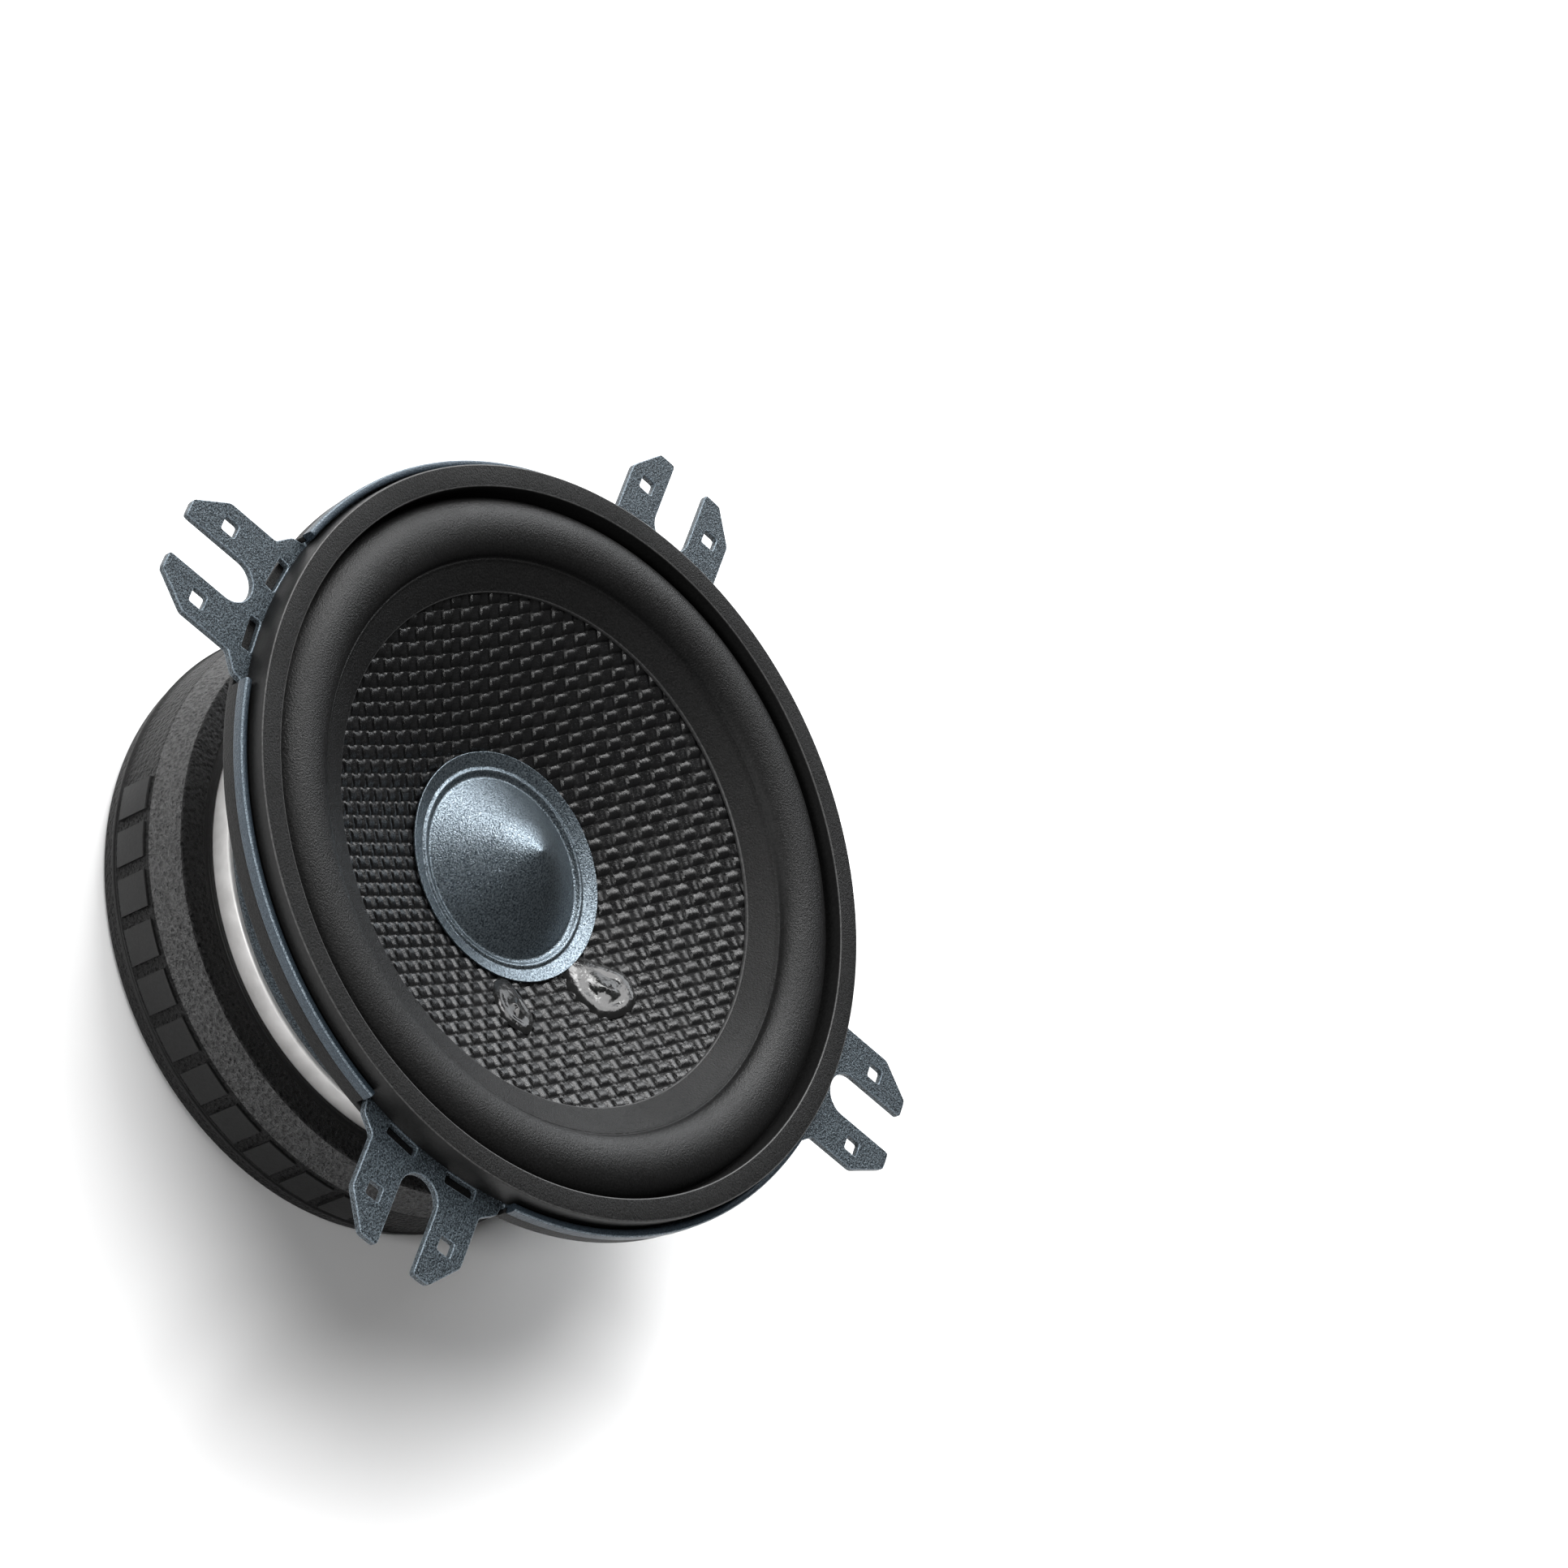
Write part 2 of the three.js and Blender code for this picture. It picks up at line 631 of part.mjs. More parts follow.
// ---------------------------------------------------------------- spider
const spiderFoot = spiderLevel - SPIDER_CLOTH / 2;
add(
  "spider_ring",
  revolve(
    [
      [ringInner, basketBack + SHEET + GAP],
      [spiderRing, basketBack + SHEET + GAP],
      [spiderRing, spiderFoot - GAP],
      [ringInner, spiderFoot - GAP],
    ],
    SMALL_SIDES,
  ),
  ringPlastic,
);

// Folded cloth disc from the former to the landing ring.
function spiderOutline() {
  const collar = formerOuter + GAP;
  const first = collar + SPIDER_CLOTH;
  const pitch = (ringInner - first) / SPIDER_FOLDS;
  const top = [];
  const under = [];
  for (let i = 1; i < SPIDER_FOLDS; i++) {
    const radius = first + pitch * i;
    const height = spiderLevel + (i % 2 ? SPIDER_WAVE : -SPIDER_WAVE);
    top.push([radius, height + SPIDER_CLOTH / 2]);
    under.push([radius, height - SPIDER_CLOTH / 2]);
  }
  return [
    [collar, spiderFoot],
    [first, spiderFoot],
    ...under,
    [ringInner, spiderFoot],
    [spiderRing, spiderFoot],
    [spiderRing, spiderFoot + SPIDER_CLOTH],
    [ringInner, spiderFoot + SPIDER_CLOTH],
    ...top.reverse(),
    [first, spiderFoot + SPIDER_CLOTH],
    [first, spiderLevel + SPIDER_WAVE],
    [collar, spiderLevel + SPIDER_WAVE],
  ];
}
add("spider", revolve(spiderOutline(), SMALL_SIDES), spiderCloth);

// ---------------------------------------------------------------- terminals
const tabLevel = flange - TAB_HEIGHT;
const sides = { positive: 1, negative: -1 };
let board = block(
  [boardInner, -BOARD.width / 2, basketBack + GAP],
  [boardOuter, BOARD.width / 2, flange - BOARD.top],
);
for (const [name, side] of Object.entries(sides)) {
  const neck = TAB_WIDTHS[name] / 2 - GAP;
  const slot = block(
    [boardInner - SHEET, side * TAB_SPREAD - neck - GAP, tabLevel - TAB_THICKNESS / 2 - GAP],
    [boardOuter + SHEET, side * TAB_SPREAD + neck + GAP, tabLevel + TAB_THICKNESS / 2 + GAP],
  );
  const hole = barAlongX(
    BOARD_RIVET_RADIUS + GAP,
    boardInner - SHEET,
    boardOuter + SHEET,
    side * BOARD_RIVET_SPREAD,
    boardRivetLevel,
  );
  board = board.subtract(slot).subtract(hole);
}
add("terminal_board", turned(board, TERMINAL_ANGLE), phenolic);

// A spade tab in plan: solder lug, neck through the board, shoulder and tapered blade.
function tabShape(bladeWidth) {
  const half = bladeWidth / 2;
  const neck = half - GAP;
  const shoulder = half + TAB_SHOULDER_EXTRA / 2;
  const shoulderEnd = boardOuter + GAP + TAB_SHOULDER;
  const tip = shoulderEnd + TAB_BLADE;
  const outline = [
    [boardInner - TAB_LUG, -neck],
    [boardOuter + GAP, -neck],
    [boardOuter + GAP, -shoulder],
    [shoulderEnd, -shoulder],
    [shoulderEnd, -half],
    [tip - half / 2, -half],
    [tip, -half / 2],
  ];
  const mirrored = outline.map(([x, y]) => [x, -y]).reverse();
  const shape = new THREE.Shape([...outline, ...mirrored].map((p) => new THREE.Vector2(...p)));
  const eye = new THREE.Path();
  eye.absarc(shoulderEnd + TAB_BLADE * 0.6, 0, half * 0.35, 0, Math.PI * 2, true);
  shape.holes.push(eye);
  return shape;
}

for (const [name, side] of Object.entries(sides)) {
  const low = tabLevel - TAB_THICKNESS / 2;
  const tab = plate(tabShape(TAB_WIDTHS[name]), low, low + TAB_THICKNESS, 6);
  const placed = tab.translate([0, side * TAB_SPREAD, 0]);
  add(name + "_terminal", turned(placed, TERMINAL_ANGLE), tinnedBrass);

  const rivetY = side * BOARD_RIVET_SPREAD;
  const headStart = boardOuter + GAP;
  const headEnd = headStart + BOARD_RIVET_HEAD.height;
  const shank = barAlongX(BOARD_RIVET_RADIUS, cupInner, headEnd - GAP, rivetY, boardRivetLevel);
  const head = barAlongX(BOARD_RIVET_HEAD.radius, headStart, headEnd, rivetY, boardRivetLevel);
  add(name + "_board_rivet", turned(shank.add(head), TERMINAL_ANGLE), rivetSteel);
}

// ---------------------------------------------------------------- leads and glue dabs
// Each tinsel lead hangs in a slack loop from the back of the cone to its solder lug.
function leadPoints(side) {
  const angle = THREE.MathUtils.degToRad(DAB_SPREAD * side);
  const startX = DAB_AT * Math.cos(angle);
  const startY = DAB_AT * Math.sin(angle);
  const startZ = coneFront(DAB_AT) - CONE_THICKNESS - GAP;
  const endX = boardInner - TAB_LUG / 2;
  const endY = side * TAB_SPREAD;
  const endZ = tabLevel + TAB_THICKNESS / 2 + GAP + LEAD_RADIUS;
  const across = (share) => startY + (endY - startY) * share;
  const along = (share) => startX + (endX - startX) * share;
  return [
    new THREE.Vector3(startX, startY, startZ - LEAD_RADIUS),
    new THREE.Vector3(along(0.08), across(0.05), startZ - 2.4),
    new THREE.Vector3(along(0.3), across(0.3), startZ - 4.4),
    new THREE.Vector3(along(0.6), across(0.65), startZ - 4.5),
    new THREE.Vector3(along(0.85), across(0.9), endZ + 0.2),
    new THREE.Vector3(endX, endY, endZ),
  ];
}

for (const [name, side] of Object.entries(sides)) {
  const route = new THREE.CatmullRomCurve3(leadPoints(side));
  const section = new THREE.Shape();
  for (let i = 0; i < LEAD_SIDES; i++) {
    const turn = (2 * Math.PI * i) / LEAD_SIDES;
    const point = [LEAD_RADIUS * Math.cos(turn), LEAD_RADIUS * Math.sin(turn)];
    if (i === 0) section.moveTo(...point);
    else section.lineTo(...point);
  }
  const options = { steps: LEAD_STEPS, extrudePath: route, bevelEnabled: false };
  const lead = solid(new THREE.ExtrudeGeometry(section, options));
  add("tinsel_lead_" + name, turned(lead, TERMINAL_ANGLE), tinsel);

  const dome = new THREE.SphereGeometry(1, 10, 6);
  dome.scale(DAB.length, DAB.width, DAB.height);
  dome.rotateY(-Math.atan(coneSlope));
  dome.translate(DAB_AT, 0, coneFront(DAB_AT) + DAB.height + 2 * GAP);
  const place = TERMINAL_ANGLE + side * DAB_SPREAD;
  add("lead_glue_dab_" + name, turned(solid(dome), place), adhesive);
}

export default speaker;
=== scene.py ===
# %% [markdown]
# # A four-inch car speaker, seen from the front and a little from one side
# The model of the real sizes is already packed as a set of plain solids, called the frame. This lesson
# puts the finished look round it: every visible solid is made again with rounded edges, cloth weave,
# rubber grain and metal sparkle, in the same place and at the same size.

# %% Load the frame
import math
import bmesh
import bpy
from mathutils import Matrix, Vector


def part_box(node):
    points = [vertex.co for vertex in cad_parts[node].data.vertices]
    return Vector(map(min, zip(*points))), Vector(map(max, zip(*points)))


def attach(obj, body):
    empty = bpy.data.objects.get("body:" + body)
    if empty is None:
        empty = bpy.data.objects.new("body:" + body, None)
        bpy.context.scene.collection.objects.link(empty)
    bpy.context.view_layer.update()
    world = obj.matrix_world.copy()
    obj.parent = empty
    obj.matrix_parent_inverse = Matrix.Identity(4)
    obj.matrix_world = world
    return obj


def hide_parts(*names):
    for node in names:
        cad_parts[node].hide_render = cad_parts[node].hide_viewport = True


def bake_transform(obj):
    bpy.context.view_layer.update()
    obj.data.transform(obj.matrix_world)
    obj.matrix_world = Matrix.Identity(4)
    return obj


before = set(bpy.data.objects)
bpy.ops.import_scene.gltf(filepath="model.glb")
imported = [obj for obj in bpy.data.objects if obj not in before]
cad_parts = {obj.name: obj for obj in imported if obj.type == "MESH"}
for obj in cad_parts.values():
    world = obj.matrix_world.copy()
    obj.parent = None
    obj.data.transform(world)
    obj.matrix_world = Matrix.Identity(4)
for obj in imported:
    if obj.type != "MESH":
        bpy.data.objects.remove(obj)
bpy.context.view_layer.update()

# %% [markdown]
# ## Levels and radii
# A speaker is a stack of round pieces on one axis, so almost everything about it is a height or a radius.
# Both come from the boxes of the frame's solids, and are kept here in millimetres, because that is how
# such a part is drawn. `MM` turns them into Blender's metres where the meshes are made.

# %% Levels and radii
MM = 0.001


def low(node):
    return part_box(node)[0].z / MM


def high(node):
    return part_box(node)[1].z / MM


def reach(node):
    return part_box(node)[1].x / MM


SHEET = 1.0
HEM_HEIGHT = 2.1
FLANGE = high("basket") - HEM_HEIGHT
BASKET_BACK = low("basket")
GASKET_RADIUS = reach("front_gasket")
GASKET_INNER = GASKET_RADIUS - 3.1
HEM_INNER = GASKET_RADIUS + 0.3
HEM_RADIUS = HEM_INNER + 1.1
FLANGE_RADIUS = HEM_INNER + 0.2
WALL_RADIUS = GASKET_RADIUS - 4.6
CUP_RADIUS = reach("top_plate") + 0.2
CUP_HEIGHT = 5.5
CONE_RADIUS = reach("cone")
LIP_RADIUS = CONE_RADIUS - 3.9
COIL_RADIUS = 12.5
NECK_RADIUS = COIL_RADIUS + 0.7
CONE_LIP = FLANGE - 0.8
CONE_SLOPE = (CONE_LIP - (BASKET_BACK + 12.08)) / (LIP_RADIUS - NECK_RADIUS)
EARS = 4
TERMINAL_ANGLE = 225


def cone_front(radius):
    """Height of the cone's front surface at a radius."""
    return CONE_LIP - CONE_SLOPE * (LIP_RADIUS - radius)


print("flange at", round(FLANGE, 2), "cone slope", round(math.degrees(math.atan(CONE_SLOPE)), 1), "degrees")

# %% [markdown]
# ## Finishes
# Every finish on this speaker is a fine texture over a dark colour: powder coat, moulded rubber, anodised
# metal, cloth under resin. A drawn texture could be wrapped round each piece, but a pattern made by nodes has
# no edge, no blur and the right size in millimetres everywhere. So each finish starts from one Principled
# shader, and a few small helpers add noise in real sizes to its colour, its roughness and its relief.

# %% Helpers for finishes
def finish(name, roughness, metallic=0.0, specular=0.5):
    """A material, its node tree, its shader and its place in the piece's own frame."""
    made = bpy.data.materials.new(name)
    made.use_nodes = True
    tree = made.node_tree
    shader = tree.nodes["Principled BSDF"]
    shader.inputs["Roughness"].default_value = roughness
    shader.inputs["Metallic"].default_value = metallic
    shader.inputs["Specular IOR Level"].default_value = specular
    where = tree.nodes.new("ShaderNodeTexCoord").outputs["Object"]
    return made, tree, shader, where


def grain(tree, where, size, detail=2.0, rough=0.5):
    """Noise whose lumps are about size millimetres across."""
    node = tree.nodes.new("ShaderNodeTexNoise")
    node.inputs["Scale"].default_value = 1 / (size * MM)
    node.inputs["Detail"].default_value = detail
    node.inputs["Roughness"].default_value = rough
    tree.links.new(where, node.inputs["Vector"])
    return node.outputs["Fac"]


def cells(tree, where, size):
    """Voronoi cells about size millimetres across, as the distance to each cell's middle."""
    node = tree.nodes.new("ShaderNodeTexVoronoi")
    node.inputs["Scale"].default_value = 1 / (size * MM)
    tree.links.new(where, node.inputs["Vector"])
    return node.outputs["Distance"]


def spread(tree, value, start, end, low_value, high_value):
    """value from start to end, stretched to run from low_value to high_value."""
    node = tree.nodes.new("ShaderNodeMapRange")
    ends = {"From Min": start, "From Max": end, "To Min": low_value, "To Max": high_value}
    for socket, number in ends.items():
        node.inputs[socket].default_value = number
    tree.links.new(value, node.inputs["Value"])
    return node.outputs["Result"]


def sum_of(tree, a, b, operation="ADD"):
    """Two values or numbers, added or put through another operation."""
    node = tree.nodes.new("ShaderNodeMath")
    node.operation = operation
    for socket, value in zip(node.inputs, (a, b)):
        if isinstance(value, (int, float)):
            socket.default_value = value
        else:
            tree.links.new(value, socket)
    return node.outputs["Value"]


def tint(tree, factor, dark, light):
    """A colour between two, by factor."""
    node = tree.nodes.new("ShaderNodeMix")
    node.data_type = "RGBA"
    node.inputs["A"].default_value = (*dark, 1)
    node.inputs["B"].default_value = (*light, 1)
    tree.links.new(factor, node.inputs["Factor"])
    return node.outputs["Result"]


def relief(tree, height, depth, under=None):
    """Bumps depth millimetres high, over the bumps of under."""
    node = tree.nodes.new("ShaderNodeBump")
    node.inputs["Distance"].default_value = depth * MM
    tree.links.new(height, node.inputs["Height"])
    if under:
        tree.links.new(under, node.inputs["Normal"])
    return node.outputs["Normal"]


def join(tree, shader, colour=None, roughness=None, normal=None):
    """Connects what a finish made to its shader."""
    for socket, value in (("Base Color", colour), ("Roughness", roughness), ("Normal", normal)):
        if value is not None:
            tree.links.new(value, shader.inputs[socket])


# %% [markdown]
# ### Powder coat
# The basket is stamped steel under a blue-grey metallic powder coat. Baked powder flows into tiny lumps,
# and the metal flakes in it catch the light one by one. The lumps are noise a quarter of a millimetre
# across, and the flakes are a finer noise that lifts the colour here and there. One function makes three
# strengths: speckled for the faces, calm for the hem's wall, and a much lighter one for edges, which is a
# painted highlight along them.

# %% Powder coat
def make_powder_coat(name, dark, light, depth):
    made, tree, shader, where = finish(name, 0.42, metallic=0.5)
    lumps = grain(tree, where, 0.26, detail=2, rough=0.6)
    flakes = grain(tree, where, 0.21, detail=2, rough=0.7)
    clouds = grain(tree, where, 9, detail=2)
    colour = tint(tree, spread(tree, flakes, 0.40, 0.64, 0, 1), dark, light)
    rough = spread(tree, clouds, 0.3, 0.7, 0.34, 0.46)
    join(tree, shader, colour, rough, relief(tree, lumps, depth))
    return made


powder_coat = make_powder_coat("powder_coat", (0.008, 0.012, 0.016), (0.120, 0.150, 0.172), 0.45)
edge_coat = make_powder_coat("powder_coat_on_edges", (0.020, 0.030, 0.040), (0.048, 0.066, 0.084), 0.1)
# The much lighter coat stands in for light: a painted highlight along edges.
edge_highlight_coat = make_powder_coat("powder_coat_painted_edge_highlight", (0.075, 0.098, 0.12), (0.25, 0.30, 0.34), 0.14)
print("made", powder_coat.name, "in three strengths")

# %% [markdown]
# ### Rubbers
# All the rubber is near black, and the parts differ in how coarse their mould was and how much they shine.
# The gaskets are matt with a fine pebble, the roll of the surround is satin with hardly any grain, and the
# boot has a deep leathery grain that is painted lighter on its chamfer, a painted highlight. One function
# makes all seven from two greys, a roughness, the size and depth of the grain, and the size of the dust on
# it.

# %% Rubbers
def make_rubber(name, dark, light, roughness, pebble, depth, fine, specular, leather=False):
    made, tree, shader, where = finish(name, roughness, specular=specular)
    pebbles = grain(tree, where, pebble, detail=3, rough=0.62)
    if leather:
        pebbles = sum_of(tree, pebbles, cells(tree, where, 1.6 * pebble), "MULTIPLY")
        pebbles = sum_of(tree, pebbles, 2.2, "MULTIPLY")
    dust = grain(tree, where, fine, detail=2)
    bloom = grain(tree, where, 14, detail=3)
    colour = tint(tree, spread(tree, pebbles, 0.35, 0.65, 0, 1), (dark,) * 3, (light,) * 3)
    rough = spread(tree, bloom, 0.3, 0.7, roughness - 0.05, roughness + 0.06)
    coarse = relief(tree, pebbles, depth)
    join(tree, shader, colour, rough, relief(tree, dust, depth / 4, under=coarse))
    return made


gasket_rubber = make_rubber("gasket_rubber", 0.002, 0.010, 0.6, 0.27, 0.17, 0.16, specular=0.25)
roll_rubber = make_rubber("roll_rubber", 0.002, 0.007, 0.44, 0.26, 0.1, 0.14, specular=0.34)
lip_rubber = make_rubber("lip_rubber", 0.002, 0.008, 0.5, 0.26, 0.13, 0.14, specular=0.26)
boot_rubber = make_rubber("boot_rubber", 0.003, 0.012, 0.5, 0.42, 0.8, 0.2, specular=0.25, leather=True)
# A lighter rubber for the boot's chamfer: a painted highlight.
chamfer_highlight_rubber = make_rubber("chamfer_rubber_painted_highlight", 0.042, 0.09, 0.5, 0.42, 1.2, 0.2, specular=0.5, leather=True)
# A lighter rubber for thin lines along edges: a painted highlight.
highlight_line_rubber = make_rubber("rubber_edge_painted_highlight", 0.025, 0.055, 0.45, 0.4, 0.03, 0.16, specular=0.45)
smooth_rubber = make_rubber("smooth_rubber", 0.005, 0.009, 0.5, 0.4, 0.03, 0.16, specular=0.28)
print("made seven rubbers")

# %% [markdown]
# ### Metals and the rest
# The dust cap is anodised and blasted aluminium, the yoke is bright nickel, the top plate is plated a milky
# white, the terminals are tinned and the winding is copper. Bare metal is mostly reflection, so their colour
# is even and the interest is in the relief: a sparkle on the cap, turning marks that run round the plates.

# %% Metals
def make_cap_metal():
    made, tree, shader, where = finish("cap_metal", 0.36, metallic=0.92)
    sparkle = grain(tree, where, 0.24, detail=2, rough=0.7)
    soft = grain(tree, where, 5, detail=2)
    flecks = spread(tree, sparkle, 0.35, 0.68, 0, 1)
    colour = tint(tree, flecks, (0.045, 0.06, 0.075), (0.30, 0.355, 0.395))
    rough = spread(tree, soft, 0.3, 0.7, 0.29, 0.34)
    join(tree, shader, colour, rough, relief(tree, sparkle, 0.09))
    return made


def make_turned_metal(name, dark, light, roughness, ring=0.12, metallic=1.0):
    """Bare metal with fine marks round the speaker's axis."""
    made, tree, shader, where = finish(name, roughness, metallic=metallic)
    rings = tree.nodes.new("ShaderNodeTexWave")
    rings.wave_type = "RINGS"
    rings.rings_direction = "Z"
    rings.inputs["Scale"].default_value = 1 / (20 * ring * MM)
    rings.inputs["Distortion"].default_value = 0.6
    rings.inputs["Detail"].default_value = 2
    tree.links.new(where, rings.inputs["Vector"])
    stain = grain(tree, where, 3, detail=4)
    colour = tint(tree, spread(tree, stain, 0.35, 0.7, 0, 1), dark, light)
    rough = spread(tree, stain, 0.3, 0.7, roughness - 0.06, roughness + 0.08)
    fine = relief(tree, rings.outputs["Fac"], 0.008)
    join(tree, shader, colour, rough, relief(tree, grain(tree, where, 0.3), 0.006, under=fine))
    return made


cap_metal = make_cap_metal()
nickel = make_turned_metal("nickel", (0.80, 0.79, 0.77), (0.93, 0.92, 0.91), 0.3)
zinc = make_turned_metal("zinc", (0.55, 0.56, 0.57), (0.74, 0.74, 0.73), 0.34)
tin = make_turned_metal("tin", (0.60, 0.57, 0.48), (0.78, 0.75, 0.66), 0.3)
copper = make_turned_metal("copper", (0.52, 0.20, 0.08), (0.83, 0.42, 0.22), 0.28, ring=0.4)
zinc_white = make_turned_metal("zinc_white", (0.70, 0.69, 0.68), (0.84, 0.83, 0.82), 0.4, metallic=0.25)
print("made six metals")

# %% [markdown]
# Ferrite is a dull grey stone-like ceramic, the former is amber film, the spider is brown cloth stiff with
# resin, and the terminal board is paper phenolic. They sit deep inside and show through the windows, so
# each gets a colour that varies and a relief of the right size.

# %% Inner materials
def make_plain(name, dark, light, roughness, size, depth):
    made, tree, shader, where = finish(name, roughness)
    lumps = grain(tree, where, size, detail=4, rough=0.6)
    colour = tint(tree, spread(tree, lumps, 0.3, 0.7, 0, 1), dark, light)
    rough = spread(tree, lumps, 0.3, 0.7, roughness + 0.06, roughness - 0.06)
    join(tree, shader, colour, rough, relief(tree, lumps, depth))
    return made


def make_cloth(name, dark, light, thread, depth):
    """Plain cloth: two sets of threads over and under each other, thread millimetres apart."""
    made, tree, shader, where = finish(name, 0.8)
    crossed = []
    for axis in ("X", "Y"):
        wave = tree.nodes.new("ShaderNodeTexWave")
        wave.bands_direction = axis
        wave.inputs["Scale"].default_value = 1 / (20 * thread * MM) * math.pi
        tree.links.new(where, wave.inputs["Vector"])
        crossed.append(wave.outputs["Fac"])
    weave = sum_of(tree, *crossed, operation="MAXIMUM")
    colour = tint(tree, weave, dark, light)
    join(tree, shader, colour, None, relief(tree, weave, depth))
    return made


ferrite = make_plain("ferrite", (0.030, 0.030, 0.032), (0.062, 0.062, 0.064), 0.62, 0.6, 0.03)
amber_film = make_plain("amber_film", (0.30, 0.13, 0.02), (0.46, 0.22, 0.05), 0.3, 0.9, 0.01)
phenolic = make_plain("phenolic", (0.10, 0.045, 0.018), (0.17, 0.085, 0.035), 0.5, 0.5, 0.02)
moulding = make_plain("moulding", (0.014, 0.014, 0.016), (0.026, 0.026, 0.028), 0.45, 0.4, 0.02)
spider_cloth = make_cloth("spider_cloth", (0.16, 0.085, 0.025), (0.36, 0.22, 0.085), 0.5, 0.08)
tinsel_braid = make_cloth("tinsel_braid", (0.30, 0.14, 0.06), (0.75, 0.45, 0.24), 0.2, 0.05)
print("made six inner materials")

# %% [markdown]
# ### Woven fibre under resin
# The cone is a plain weave of black fibre yarns under glossy resin. The yarns' humps are real geometry,
# made further down. The finish adds what is smaller than a yarn: strands that run along each yarn, and
# resin that is smooth in some places and dry in others. Which way the strands run changes from one square
# of the weave to the next, like a chessboard, so the pattern is worked out in yarn units turned by 45
# degrees: the whole numbers of the two coordinates are added, and an even sum means one set of yarns. The
# mesh also carries `crown`, its own height within the weave, which dulls the gaps and darkens them with
# painted shade.

# %% Woven fibre
YARN = 1.76
WEAVE_TURN = math.radians(45)


def make_woven_fibre():
    made, tree, shader, where = finish("woven_fibre", 0.3, specular=0.5)
    turn = tree.nodes.new("ShaderNodeMapping")
    turn.inputs["Rotation"].default_value = (0, 0, -WEAVE_TURN)
    turn.inputs["Scale"].default_value = (1 / (YARN * MM),) * 3
    tree.links.new(where, turn.inputs["Vector"])
    parts = tree.nodes.new("ShaderNodeSeparateXYZ")
    tree.links.new(turn.outputs["Vector"], parts.inputs["Vector"])
    whole = [sum_of(tree, parts.outputs[axis], 0, "FLOOR") for axis in ("X", "Y")]
    chess = sum_of(tree, sum_of(tree, *whole), 2, "FLOORED_MODULO")
    strands = []
    for stretch in ((1.1, 15, 1), (15, 1.1, 1)):
        along = tree.nodes.new("ShaderNodeMapping")
        along.inputs["Scale"].default_value = stretch
        tree.links.new(turn.outputs["Vector"], along.inputs["Vector"])
        fibre = tree.nodes.new("ShaderNodeTexNoise")
        fibre.inputs["Scale"].default_value = 1
        fibre.inputs["Detail"].default_value = 3
        tree.links.new(along.outputs["Vector"], fibre.inputs["Vector"])
        strands.append(fibre.outputs["Fac"])
    pick = tree.nodes.new("ShaderNodeMix")
    tree.links.new(chess, pick.inputs["Factor"])
    tree.links.new(strands[0], pick.inputs["A"])
    tree.links.new(strands[1], pick.inputs["B"])
    strand = pick.outputs["Result"]
    resin = grain(tree, where, 0.34, detail=4, rough=0.7)
    patches = grain(tree, where, 3.5, detail=2)
    dry = sum_of(tree, resin, spread(tree, patches, 0.35, 0.65, -0.12, 0.16))
    crown = tree.nodes.new("ShaderNodeAttribute")
    crown.attribute_name = "crown"
    # Low crown darkens the colour: painted shade in the gaps between yarns. A mesh without crown gets this
    # painted shade all over.
    strands_with_painted_gap_shade = sum_of(tree, strand, spread(tree, crown.outputs["Fac"], 0.15, 0.7, 0.1, 1), "MULTIPLY")
    colour = tint(tree, strands_with_painted_gap_shade, (0.001, 0.001, 0.001), (0.009, 0.009, 0.0095))
    valley = spread(tree, crown.outputs["Fac"], 0.2, 0.65, 0.35, 0)
    rough = sum_of(tree, spread(tree, dry, 0.38, 0.62, 0.14, 0.34), valley)
    along_yarn = relief(tree, strand, 0.03)
    drops = relief(tree, resin, 0.06, under=along_yarn)
    join(tree, shader, colour, rough, drops)
    return made


woven_fibre = make_woven_fibre()
print("made", woven_fibre.name, "with yarns of", YARN, "mm")


# %% [markdown]
# ### Adhesive
# Two dabs of black adhesive hold the leads to the cone. It is the glossiest thing on the speaker: nearly a
# black mirror, with only slow dents. The second dab has gone duller as it dried.

# %% Adhesive
def make_adhesive(name, specular, coat):
    made, tree, shader, where = finish(name, 0.15, specular=specular)
    shader.inputs["Coat Weight"].default_value = coat
    shader.inputs["Coat Roughness"].default_value = 0.06
    dents = grain(tree, where, 1.3, detail=2)
    colour = tint(tree, dents, (0.003, 0.003, 0.003), (0.012, 0.012, 0.012))
    rough = spread(tree, dents, 0.3, 0.7, 0.1, 0.24)
    join(tree, shader, colour, rough, relief(tree, dents, 0.12))
    return made


wet_adhesive = make_adhesive("adhesive", 0.36, 0.12)
dull_adhesive = make_adhesive("dull_adhesive", 0.25, 0.05)
print("made", wet_adhesive.name, "and", dull_adhesive.name)

# %% [markdown]
# ## Making meshes
# Nearly every piece is either turned, like something on a lathe, or cut from flat sheet. Both start from
# one outline with rounded corners. The corners are rounded by bevelling the vertices of a flat face, so an
# outline is only written with the corners that matter, each with its radius.

